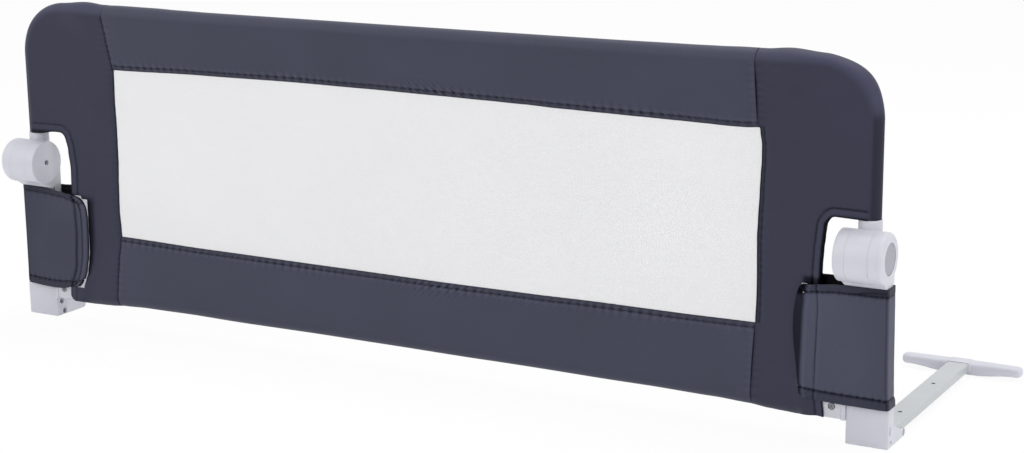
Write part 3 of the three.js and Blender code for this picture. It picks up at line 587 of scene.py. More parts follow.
def finish_of(kind):
    """Each finish is made once, from the colours and sizes in the sidebar."""
    if kind not in FINISHES:
        looks, sizes = bpy.context.scene.rail_looks, bpy.context.scene.rail_sizes
        makers = {
            "panel": (woven_cloth, "panel_cloth", looks.panel, sizes.thread),
            "strip": (woven_cloth, "strip_cloth", looks.strip, sizes.thread),
            "pocket": (woven_cloth, "pocket_cloth", looks.pocket, sizes.thread),
            # The inner side's cloth, painted darker than the outer cloth to stand for the shade inside the
            # layers.
            "lining": (woven_cloth, "lining_cloth", looks.lining, sizes.thread),
            "net": (knitted_mesh, "window_net", looks.net, sizes.net_pitch),
            "plastic": (moulded_plastic, "shell_plastic", looks.plastic),
            "button": (moulded_plastic, "button_plastic", looks.button, 0.5),
            "paint": (coated_steel, "painted_steel", looks.paint),
            "steel": (plated_steel, "bare_steel", looks.steel),
            # The axle screw's steel, painted dark to stand for the shade in its hole.
            "shade_dark_steel": (plated_steel, "blackened_steel", looks.shade_dark_steel),
            "hooks": (hook_and_loop, "hook_strip", looks.hooks),
        }
        make, name, colour, *more = makers[kind]
        FINISHES[kind] = make(name, [round(channel * 255) for channel in colour], *more)
    return FINISHES[kind]
# Cloth cover

# A line that runs upwards is pairs of height and place along the rail.
# A line along the rail is pairs of place and height.
# Side -1 is the left end and side 1 the right end.
SEAM_LINE = {
    -1: [(27, 448), (60, 446.5), (90, 445), (112, 442), (129, 442.8), (155, 444.2), (188, 443.4),
         (225, 441.7), (267, 441.5), (300, 442.3), (326, 441.8), (340, 441.5), (380, 444.5), (412, 446)],
    1: [(27, 444.5), (60, 445), (120, 446.2), (150, 447.2), (167, 447.3), (200, 446.9), (217, 446.6),
        (234, 447.4), (267, 448.9), (284, 449.6), (300, 450.6), (317, 450.6), (334, 448.4), (341, 446.6),
        (348, 445.6), (421, 445.4)],
}
WINDOW_HEAD = [(-446, 339.8), (-300, 342.3), (-160, 343.4), (-60, 342.9), (50, 341.8), (104, 341.1),
               (156, 340.3), (207, 338.9), (257, 338.2), (306, 337.5), (354, 336.9), (380, 336.4),
               (410, 335.7), (428, 335.8), (446, 337.0)]
WINDOW_SILL = [(-446, 120.5), (-300, 118.7), (-100, 118.0), (46, 117.4), (160, 117.8), (262, 119.0),
               (350, 119.0), (447, 119.9)]
NOTCH_LINE = {
    -1: [(27, 526.8), (60, 526), (110, 522), (150, 519), (184, 516), (206, 515.5), (230, 518), (249, 522)],
    1: [(27, 531.5), (50, 529.5), (75, 526.5), (120, 524), (185, 523.4), (194, 523.6), (212, 524.7),
        (226, 526.2), (237, 527.3), (250, 527.8)],
}
NOTCH_HEAD = {-1: (253.2, 9.0), 1: (250.0, 14.0)}
COVER_FOOT = [(0, 29.6), (100, 29.1), (250, 28.8), (320, 29.2), (400, 28.0), (443, 26.4), (465, 24.5),
              (480, 23.8), (503, 22.9)]
TOP_FULLNESS = [(-446, 1.3), (-425, 1.6), (-377, 1.4), (-330, 0.7), (-284, 0.3), (-105, 0.2), (-19, 0.05),
                (63, 0.0), (142, 0.05), (256, 0.1), (365, 0.5), (399, 0.8), (432, 1.4), (446, 1.4)]

# Where the folding bends the cloth
FOLD_START = spot(0, TUBE_Y, 190)
FOLD_END = spot(0, TUBE_Y, 235)

# How far the cloth falls away from the seam's depth: to the tube, and in front and behind to the crossbar
TUBE_FALL = 10.6
BAR_FALLS = {1: 6.6, -1: 11.6}
SEAM_TUCK = 1.9
BAR_LAP = 12.3
WRAP_COLUMNS = 16
UNDER_ROWS = 6
STRIP_WRAP = 14


def cloth_piece(bm, name, kinds, near, thickness, crease=50):
    """A piece from one layer of cloth, whose outer side is the front near a place."""
    face_towards(bm, near, (0, -1, 0))
    piece = piece_from(bm, name, [finish_of(kind) for kind in kinds], crease)
    # The last finish covers the inner side and the cut edges; on the cover and pockets it is the inner
    # cloth, painted darker as shade.
    thicken(piece, thickness, len(kinds) - 1)
    return piece


def seam_at(side, z):
    """The place along the rail of the seam between a side panel and the strips or the window."""
    return smooth_along(z, SEAM_LINE[side])


def notch_distance(side, x, z):
    """How far a place on the side panel is from the edge of its notch."""
    head, corner = NOTCH_HEAD[side]
    if z <= head - corner:
        return NOTCH_X - x
    if x >= NOTCH_X + corner:
        return z - head
    return math.hypot(x - NOTCH_X - corner, z - head + corner) - corner


def puckers(distance, run, pitch, reach):
    """The small gathers that stitching pulls into cloth, fading away from the stitches."""
    wave = math.sin(2 * math.pi * run / pitch + 0.9 * math.sin(run / (1.7 * pitch)))
    return wave * math.exp(-((distance / reach) ** 2)) * (0.65 + 0.35 * math.sin(run / (3.1 * pitch)))


def stitched_line(distance, width):
    """A valley along a line of stitches."""
    return hill(distance, 0, width)


def hoop_point(share):
    """A place on the tube's centre line from the window's head round the corner down to the upright."""
    straight = UPRIGHT_X - BEND_RADIUS - SEAM_X
    arc = BEND_RADIUS * math.pi / 2
    down = HOOP_Z - BEND_RADIUS - WINDOW_TOP_Z
    run = share * (straight + arc + down)
    if run < straight:
        return SEAM_X + run, HOOP_Z, (0.0, 1.0)
    if run < straight + arc:
        angle = (run - straight) / BEND_RADIUS
        middle = (UPRIGHT_X - BEND_RADIUS, HOOP_Z - BEND_RADIUS)
        outwards = (math.sin(angle), math.cos(angle))
        return middle[0] + BEND_RADIUS * outwards[0], middle[1] + BEND_RADIUS * outwards[1], outwards
    return UPRIGHT_X, HOOP_Z - BEND_RADIUS - (run - straight - arc), (1.0, 0.0)


def seam_painted_shading(side, seam_gap, z):
    """Painted shade on the side panel beside its seam with the strips and along the window, in stitch
    dashes, with a faint painted highlight past the window's hem at the right end.
    """
    if not WINDOW_BOTTOM_Z < z < WINDOW_TOP_Z:
        strength = 0.6 if side < 0 else 0.2
        ticks = 0.75 + 0.25 * math.sin(2 * math.pi * z / 5.2 + 1.3 * math.sin(z / 9))
        return -strength * ticks * ramp(seam_gap, 4.6, 0.4)
    if side < 0:
        return -0.4 * ramp(seam_gap, 3.2, 0.6)
    ticks = 0.8 + 0.2 * math.sin(z / 1.7)
    band = 0.25 * ramp(seam_gap, 7.4, 5.6) + 0.22 * hill(seam_gap, 0.8, 1.4)
    return 0.1 * hill(seam_gap, 9.6, 1.6) - band - 0.3 * ticks * hill(seam_gap, 6.2, 1.1)


# Broad hollows and pulls in the stretched side panel. Each has how far it comes forward, its slant, its
# middle along the rail and the height of that place, its width, and its middle and reach in height.
PANEL_FOLDS = {
    -1: [(0.8, 0.0, 500, 340, 34, 340, 50), (-0.9, 0.5, 505, 290, 14, 300, 45),
         (0.5, -0.3, 470, 300, 10, 260, 60), (-0.6, 0.0, 480, 110, 16, 110, 60)],
    1: [(0.9, 0.0, 505, 330, 30, 330, 60), (-0.8, -0.25, 480, 300, 12, 280, 70),
        (0.5, 0.35, 530, 260, 9, 300, 40), (-0.7, 0.12, 478, 120, 14, 130, 70)],
}


def panel_folds(side, x, z):
    """How far the side panel's hollows and pulls bring it forward, in millimetres."""
    return sum(lift * hill(x - slant * (z - at), middle, width) * hill(z, height, reach)
               for lift, slant, middle, at, width, height, reach in PANEL_FOLDS[side])


class PanelShape:
    """Where the corners of a side panel's grid go.

    Its columns run from the window's seam over the front, round the upright and back to the seam.
    Its rows run from the head of the hoop down to the hem.
    """

    def __init__(self, side, sizes):
        step = sizes.cloth_step
        self.side, self.sizes = side, sizes
        self.head, self.corner = NOTCH_HEAD[side]
        self.near = round((NOTCH_X - SEAM_X) / step)
        self.past = round((UPRIGHT_X - NOTCH_X) / step)
        self.half = self.near + self.past
        self.columns = 2 * self.half + WRAP_COLUMNS
        shoulder = round(105 / step)
        self.fan = round(170 / step)
        self.notch_row = self.fan + shoulder
        self.bar_row = self.notch_row + round(190 / step)
        self.rows = self.bar_row + UNDER_ROWS
        self.tall = WINDOW_TOP_Z - NOTCH_TOP_Z
        hem_fold = NOTCH_X - SEAM_X - HEM_WIDTH
        self.near_places = crowded(self.near, NOTCH_X - SEAM_X, (1.0, 6.2, hem_fold))
        self.shoulder_places = crowded(shoulder, self.tall, (HEM_WIDTH,))[::-1]

    def layer(self, i):
        """A column's layer (1 front, -1 back, 0 round the tube), place along the rail and turn."""
        if self.half < i < self.half + WRAP_COLUMNS:
            return 0, UPRIGHT_X, (i - self.half) / WRAP_COLUMNS * math.pi
        front = 1 if i <= self.half else -1
        from_seam = i if front > 0 else self.columns - i
        if from_seam <= self.near:
            return front, SEAM_X + self.near_places[from_seam], 0.0
        share = (from_seam - self.near) / self.past
        return front, NOTCH_X + (UPRIGHT_X - NOTCH_X) * share ** 1.35, 0.0

    def bare(self, i, j):
        """A corner without seams and folds: place, height, share of the way to the tube, way out."""
        x = self.layer(i)[1]
        share = (x - SEAM_X) / (UPRIGHT_X - SEAM_X)
        if j <= self.fan:
            hoop_x, hoop_z, outwards = hoop_point(j / self.fan)
            z = WINDOW_TOP_Z + share * (hoop_z - WINDOW_TOP_Z)
            return SEAM_X + share * (hoop_x - SEAM_X), z, share, outwards
        foot = self.head - self.corner
        if j > self.bar_row:
            z = CROSSBAR_Z - (j - self.bar_row) / UNDER_ROWS * (CROSSBAR_Z - HEM_Z)
        elif j > self.notch_row:
            z = foot + (CROSSBAR_Z - foot) * (j - self.notch_row) / (self.bar_row - self.notch_row)
        else:
            if x > NOTCH_X:
                inset = max(0.0, NOTCH_X + self.corner - x)
                foot += math.sqrt(max(0.0, self.corner ** 2 - inset ** 2))
                level_off = ramp(x, NOTCH_X + self.corner + 6, UPRIGHT_X - SLEEVE_RADIUS)
                foot -= (self.head - NOTCH_TOP_Z) * level_off
            z = WINDOW_TOP_Z + (foot - WINDOW_TOP_Z) * (1 - self.shoulder_places[j - self.fan] / self.tall)
        return x, z, share, (1.0, 0.0)

    def slack(self, x, z, bend):
        """The sleeve's fullness over the hoop's first stretch, and at the right end round its bend."""
        loose = self.sizes.sleeve_slack * hill(x, 483, 26)
        loose += 0.6 * ramp(x, SEAM_X + 14, SEAM_X)
        full = 2.2 * hill(bend, 48, 20) - 0.6 * hill(bend, 16, 12) if self.side > 0 else 0.0
        return loose * ramp(z, 385, 405) + full

    def round_tube(self, x, z, outwards, bend, turn, slack, on_hoop):
        """A corner on the sleeve: pressed to the tube on the upright, with a painted highlight along its
        crest over the hoop and painted shade where it runs down the upright.
        """
        radius = SLEEVE_RADIUS - 0.3 + slack - 0.8 * ramp(bend, 45, 80)
        crest = 0.44 * ramp(turn, 0.0, 0.6) * ramp(bend, 90, 66) * (1 - 0.5 * ramp(turn, 0.6, 1.3))
        shade = (0.3 if self.side > 0 else 0.08) * ramp(bend, 76, 90) * ramp(turn, 0.1, 0.5)
        reach = radius * math.sin(turn)
        return (self.side * (x + outwards[0] * reach), TUBE_Y - radius * math.cos(turn),
                z + outwards[1] * reach, (crest if on_hoop else 0.0) - shade)

    def notch_hem(self, x, z, notch_gap):
        """The notch's folded hem: how far it stands out, its stitches' depth, its gathers, and its painted
        shade and highlight.
        """
        if z >= NOTCH_TOP_Z + 16:
            return 0.0, 0.0, 0.0, 0.0
        past_line = notch_gap - HEM_WIDTH
        strong = 1.0 if self.side > 0 else 0.6
        # Painted highlight on the hem's ridge, painted shade in its stitched groove and painted shade along
        # the notch's edge, weaker at the left end.
        painted_shading = 0.24 * hill(notch_gap, 0.58 * HEM_WIDTH, 2.2) - 0.42 * stitched_line(past_line, 1.4)
        painted_shading -= 0.85 * ramp(notch_gap, 2.6, 0.6)
        return (self.sizes.hem_lift * ramp(past_line, 0, -1.3), 0.9 * stitched_line(past_line, 1.2),
                0.35 * puckers(past_line - 1, z - x, 10, 5), strong * painted_shading)

    def pocket_shade(self, x, z):
        """The shade that the pocket's flap and its strip throw on the panel."""
        if self.side > 0:
            return 0.7 * ramp(x, 500, 508) * ramp(z, 184, 178) * ramp(z, 150, 165)
        beside = smooth_along(z, STRIP_EDGE[-1]) - x
        return 0.5 * ramp(beside, 8, 0) * ramp(z, 50, 62) * ramp(z, 175, 160)

    def front_depth(self, x, z, share, y, gathers):
        """The front layer's depth with its folds, laid over the crossbar's socket at the end."""
        folds = panel_folds(self.side, x, z) + gathers
        y -= folds * ramp(x - SEAM_X, 0, 12) * ramp(share, 1.0, 0.86)
        lap = ramp(x, 482, 503) * ramp(z, 66, 58)
        return min(y, CROSSBAR_Y - BAR_LAP + 3.2 * (1 - lap)) if lap > 0 else y

    def back_depth(self, x, z, notch_gap, y):
        """The back layer's depth, drawn forward at the notch and laid over the socket at the end."""
        if z < NOTCH_TOP_Z + 5:
            y -= ramp(notch_gap, 26, 0) * ramp(z, 176, 186) * max(0.0, y - (TUBE_Y - 2.0))
        lap = ramp(x, 482, 503) * ramp(z, 72, 60)
        return max(y, CROSSBAR_Y + BAR_LAP - 3.2 * (1 - lap)) if lap > 0 else y

    def pulled(self, x, z):
        """The place along the rail once the notch's edge and the seam are on their own lines."""
        pull = 0.0
        if z < self.head + 25:
            pull = smooth_along(z, NOTCH_LINE[self.side]) - NOTCH_X
            pull *= ramp(x, SEAM_X, NOTCH_X) * ramp(x, NOTCH_X + 26, NOTCH_X)
            pull *= ramp(z, self.head + 25, self.head)
        near_seam = 1 - min(1.0, max(0.0, x - SEAM_X) / 90)
        return x + pull + (seam_at(self.side, z) - SEAM_X) * near_seam ** 2

    def turned_under(self, x, y, share):
        """Depth and height below the crossbar: rolled under it, and hanging straight past its end."""
        turn = share * math.pi / 2
        round_y = CROSSBAR_Y - (CROSSBAR_Y - y) * math.cos(turn)
        round_z = CROSSBAR_Z - (CROSSBAR_Z - smooth_along(x, COVER_FOOT)) * math.sin(turn)
        hem_z = HEM_Z - 0.4 + (1.2 if self.side > 0 else 0.0) * hill(x, 524, 7)
        straight_z = CROSSBAR_Z - share * (CROSSBAR_Z - hem_z)
        if self.side < 0:
            past = max(0.0, x - 519) / 7
            straight_z += 7 * (1 - math.sqrt(max(0.0, 1 - past ** 2))) * share
        open_hem = ramp(x, 497, 508)
        return round_y + (y - round_y) * open_hem, round_z + (straight_z - round_z) * open_hem

    def place(self, i, j):
        front, _, turn = self.layer(i)
        x, z, share, outwards = self.bare(i, j)
        bend = math.degrees(math.atan2(*outwards))
        slack = self.slack(x, z, bend)
        if front == 0:
            return self.round_tube(x, z, outwards, bend, turn, slack, j <= self.fan)
        seam_gap = x - SEAM_X
        notch_gap = notch_distance(self.side, x, z) if z < NOTCH_TOP_Z + 40 else 60
        hem, line, gathers, painted_shading = self.notch_hem(x, z, notch_gap)
        gathers += 0.6 * puckers(seam_gap - 4, z, 8.5, 7)
        # Painted shade by the seam and under the pocket's flap, and painted light and shade following the
        # gathers.
        painted_shading += seam_painted_shading(self.side, seam_gap, z) - self.pocket_shade(x, z) + 0.1 * gathers
        in_window = WINDOW_BOTTOM_Z < z < WINDOW_TOP_Z
        tuck = SEAM_TUCK if in_window else 0.8 if z < WINDOW_BOTTOM_Z else 0.3
        tuck *= ramp(seam_gap, 7, 0)
        low = min(1.0, max(0.0, (WINDOW_BOTTOM_Z - z) / (WINDOW_BOTTOM_Z - CROSSBAR_Z)))
        rise = ((TUBE_FALL * share) ** 6 + (BAR_FALLS[front] * low) ** 6) ** (1 / 6)
        if front > 0:
            y = SEAM_FRONT_Y - rise - slack * share + tuck - hem + line
            y = self.front_depth(x, z, share, y, gathers)
        else:
            y = self.back_depth(x, z, notch_gap, SEAM_BACK_Y + rise - tuck - 0.4 * gathers)
        x = self.pulled(x, z)
        if j > self.bar_row:
            y, z = self.turned_under(x, y, (j - self.bar_row) / UNDER_ROWS)
        return self.side * x, y, z, painted_shading

    def flat(self, i, j):
        """A corner's place on the flat cut, in metres."""
        front, _, turn = self.layer(i)
        x, z = self.bare(i, j)[:2]
        if front < 0:
            return (2 * UPRIGHT_X + SLEEVE_RADIUS * math.pi - x) * MM, z * MM
        return (x + SLEEVE_RADIUS * turn) * MM, z * MM

    def keep(self, i, j):
        """Whether a face is cloth, and not in the notch."""
        return j < self.notch_row or i < self.near or i >= self.columns - self.near


def make_side_panel(side, sizes):
    """One end of the cover: two layers from the window's seam round the tube, with the hinge's notch."""
    shape = PanelShape(side, sizes)
    end = "left" if side < 0 else "right"
    bm = cloth_grid(shape.columns, shape.rows, shape.place, shape.flat, shape.keep)
    bmesh.ops.remove_doubles(bm, verts=bm.verts, dist=2e-6)
    kinds = ("panel", "lining")
    panel = cloth_piece(bm, f"cover_panel_{end}", kinds, (side * 500, 0, 300), sizes.cloth_thickness)
    nodes = (f"cover_side_upper_{end}", f"cover_side_lower_{end}")
    bend_between(panel, ("base_frame", "upper_rail"), FOLD_START, FOLD_END, "panel_cloth", *nodes)
    return panel


class StripShape:
    """Where the corners of a strip's grid go: from the window over the front, round the tube and back."""

    def __init__(self, sizes, edge, edge_z, rail, radius, falls):
        step = sizes.cloth_step * 1.2
        self.sizes, self.edge, self.rail, self.radius, self.falls = sizes, edge, rail, radius, falls
        self.tall = abs(rail[1] - edge_z)
        self.up = 1 if rail[1] > edge_z else -1
        self.half = round(SEAM_X / step)
        self.columns = 2 * self.half
        self.face_rows = round(self.tall / step * 1.15)
        self.rows = 2 * self.face_rows + STRIP_WRAP
        self.row_places = crowded(self.face_rows, self.tall, (1.0, sizes.window_hem))
        self.half_places = crowded(self.half, SEAM_X, (1.0,))

    def row(self, j):
        """A row's share of the way to the tube, its turn about the tube, and its layer."""
        turned = j - self.face_rows
        if turned <= 0:
            return self.row_places[j] / self.tall, 0.0, 1
        if turned >= STRIP_WRAP:
            return self.row_places[self.rows - j] / self.tall, math.pi, -1
        return 1.0, turned / STRIP_WRAP * math.pi, 0

    def tube_radius(self, x):
        """The sleeve's radius round the tube, with its fullness along the rail."""
        loose = self.sizes.strip_looseness
        if self.up > 0:
            return self.radius - 0.85 + loose * smooth_along(x, TOP_FULLNESS)
        return self.radius - 0.3 + loose * (0.5 + 0.5 * math.sin(x / 47 + 1.1)) * 0.5

    def painted_light(self, x, from_edge, from_seam, gathers):
        """Painted shade along the stitches in stitch dashes, on the hem and at the edges, a painted
        highlight on the ridge behind the stitches and beside the seam, and painted light and shade
        following the gathers.
        """
        hem = self.sizes.window_hem
        ticks = 0.75 + 0.25 * math.sin(2 * math.pi * x / 6.5)
        painted_shading = 0.12 * hill(from_edge - hem, 2.6, 1.6) - 0.5 * stitched_line(from_edge - hem, 1.2) * ticks
        painted_shading -= 0.18 * ramp(from_edge, hem, hem - 1.4) + 0.25 * ramp(from_edge, 1.2, 0)
        return painted_shading + 0.1 * hill(from_seam, 3.0, 1.6) - 0.12 * ramp(from_seam, 1.3, 0) + 0.3 * gathers

    def place(self, i, j):
        from_seam = self.half_places[self.half - abs(i - self.half)]
        side = -1 if i < self.half else 1
        x = side * (SEAM_X - from_seam)
        share, turn, front = self.row(j)
        rail_y, rail_z = self.rail
        z_edge = smooth_along(x, self.edge)
        z = z_edge + (rail_z - z_edge) * share
        run_x = x / SEAM_X * seam_at(side, z)
        radius = self.tube_radius(x)
        if front == 0:
            reach = radius
            if self.up < 0:
                reach += rail_z - self.radius - smooth_along(abs(x), COVER_FOOT)
            return run_x, rail_y - radius * math.cos(turn), rail_z + self.up * reach * math.sin(turn), 0.0
        from_edge = abs(z - z_edge)
        line_gap = from_edge - self.sizes.window_hem
        pulls = hill(x, 70, 110) + 0.5 * hill(x, -260, 120) + 0.4 * hill(x, 330, 60)
        gathers = 0.7 * puckers(line_gap, x, 11.5, 6)
        gathers += 0.9 * pulls * puckers(line_gap - 3, x + 1.1 * from_edge, 8.3, 11)
        side_gathers = 0.35 * puckers(from_seam - 3, z, 8.5, 6)
        line = 0.9 * stitched_line(line_gap, 1.2)
        tuck = SEAM_TUCK * ramp(from_edge, 5, 0)
        fall = (self.falls[front] + radius - self.radius + 0.3) * share
        if front > 0:
            sag = 0.7 * math.sin(x / 61 + 0.6) * math.sin(math.pi * share)
            sag += 0.45 * math.sin(x / 23) * hill(share, 0.35, 0.25)
            folds = (gathers + side_gathers + sag) * ramp(from_edge, 0, 8) * ramp(share, 1, 0.8)
            y = SEAM_FRONT_Y - fall + max(tuck, 0.25 * ramp(from_seam, 6, 0)) + line - folds
        else:
            y = SEAM_BACK_Y + fall - tuck - line + 0.6 * gathers * ramp(from_edge, 0, 8)
        return run_x, y, z, self.painted_light(x, from_edge, from_seam, gathers + side_gathers)

    def flat(self, i, j):
        """A corner's place on the flat cut, in metres."""
        wide, high = 2 * SEAM_X, 2 * self.tall + math.pi * self.radius
        return (i / self.columns * wide - SEAM_X) * MM, j / self.rows * high * MM


def make_strip(name, body, node, sizes, shape):
    """A strip of cloth between the side panels, two layers with a row of stitches by the window."""
    bm = cloth_grid(shape.columns, shape.rows, shape.place, shape.flat)
    middle = (shape.rail[1] + (WINDOW_TOP_Z if shape.up > 0 else WINDOW_BOTTOM_Z)) / 2
    strip = cloth_piece(bm, name, ("strip", "lining"), (0, 0, middle), sizes.cloth_thickness)
    take_place(strip, body, "panel_cloth", node)
    return strip


def make_window(sizes):
    """The net of the window: one stretched sheet between the four hems."""
    step = sizes.cloth_step * 2
    columns = round(2 * SEAM_X / step)
    rows = round((WINDOW_TOP_Z - WINDOW_BOTTOM_Z) / step)

    def place(i, j):
        across = -1 + 2 * i / columns
        side = -1 if across < 0 else 1
        x = across * SEAM_X
        low, high = smooth_along(x, WINDOW_SILL), smooth_along(x, WINDOW_HEAD)
        z = low - 1 + (high - low + 2) * j / rows
        edge = min((1 - abs(across)) * SEAM_X, z - low, high - z)
        slack = 0.8 * ramp(edge, 0, 60) * math.sin(x / 140) * math.sin(z / 60)
        slack += 0.25 * puckers(edge, x + z, 14, 16)
        return across * (seam_at(side, z) + 1), TUBE_Y + 0.1 - slack, z, 0.0

    def flat(i, j):
        return i * step * MM, j * step * MM

    bm = cloth_grid(columns, rows, place, flat)
    face_towards(bm, (0, TUBE_Y, 230), (0, -1, 0))
    net = piece_from(bm, "window_net", [finish_of("net")], 80)
    nodes = ("mesh_upper", "mesh_lower")
    bend_between(net, ("base_frame", "upper_rail"), FOLD_START, FOLD_END, "mesh_cloth", *nodes)
    return net


# Pocket and closing strip

POCKET_LOW = 45.0
POCKET_HIGH = 176.8
POCKET_FRONT_Y = -3.9
POCKET_BACK_Y = 18.9
POCKET_FACE = 108.0

# The rounded end of the flap: share of the pocket's height, place along the rail and height
POCKET_TIP = {
    -1: [(0.0, 517, 46.6), (0.02, 509, 48.6), (0.05, 504.5, 53), (0.1, 500.5, 59.5), (0.18, 496.5, 70),
         (0.3, 493.2, 87), (0.42, 491.8, 102), (0.58, 491.0, 124), (0.72, 491.2, 142), (0.81, 492.2, 153),
         (0.87, 494.4, 160), (0.92, 498.2, 165), (0.96, 503.6, 168.7), (0.985, 510, 170.8),
         (1.0, 518, 171.8)],
    1: [(0.0, 506.5, 46.8), (0.02, 502.8, 50), (0.12, 500.6, 61.6), (0.23, 499, 75.5), (0.35, 497, 91.4),
        (0.47, 494.7, 107), (0.6, 493.7, 123), (0.72, 493.9, 139), (0.82, 495.7, 153.4),
        (0.9, 497.9, 163.2), (0.96, 500.6, 169.8), (1.0, 504.5, 173.4)],
}
POCKET_OUTER = {
    -1: [(44, 600.2), (62, 600.0), (110, 599.7), (177, 599.7)],
    1: [(45, 604.2), (50.5, 603.9), (56, 602.4), (74, 601.8), (96, 601.3), (120, 601.0), (150, 600.5),
        (177, 600.1)],
}
POCKET_TOP = {
    -1: [(500, 167.5), (511, 169.5), (534, 174.2), (570, 177), (604, 178)],
    1: [(500, 172.4), (522, 175.0), (544, 176.9), (570, 177.2), (604, 177.8)],
}
POCKET_FOOT = {
    -1: [(500, 48.8), (515, 45.2), (539, 42.4), (556, 41.8), (572, 42.4), (590, 43.6), (604, 44.4)],
    1: [(500, 48.0), (516, 46.2), (529, 45.4), (558, 44.9), (604, 44.7)],
}
FLAP_EDGE = {
    -1: [(45, 509), (60, 505), (80, 500.5), (105, 498.6), (125, 498.2), (145, 499), (160, 503), (172, 512)],
    1: [(45, 507.5), (60, 506.2), (82, 506), (103, 506.6), (125, 507.2), (141, 507.9), (159, 509.3),
        (174, 511.5)],
}
FLAP_SEAM = {
    -1: [(45, 522), (80, 512.5), (125, 509.6), (150, 510.5), (175, 514)],
    1: [(45, 519.4), (84, 520.2), (127, 521.3), (148, 521.9), (168, 520.8), (176, 520.2)],
}


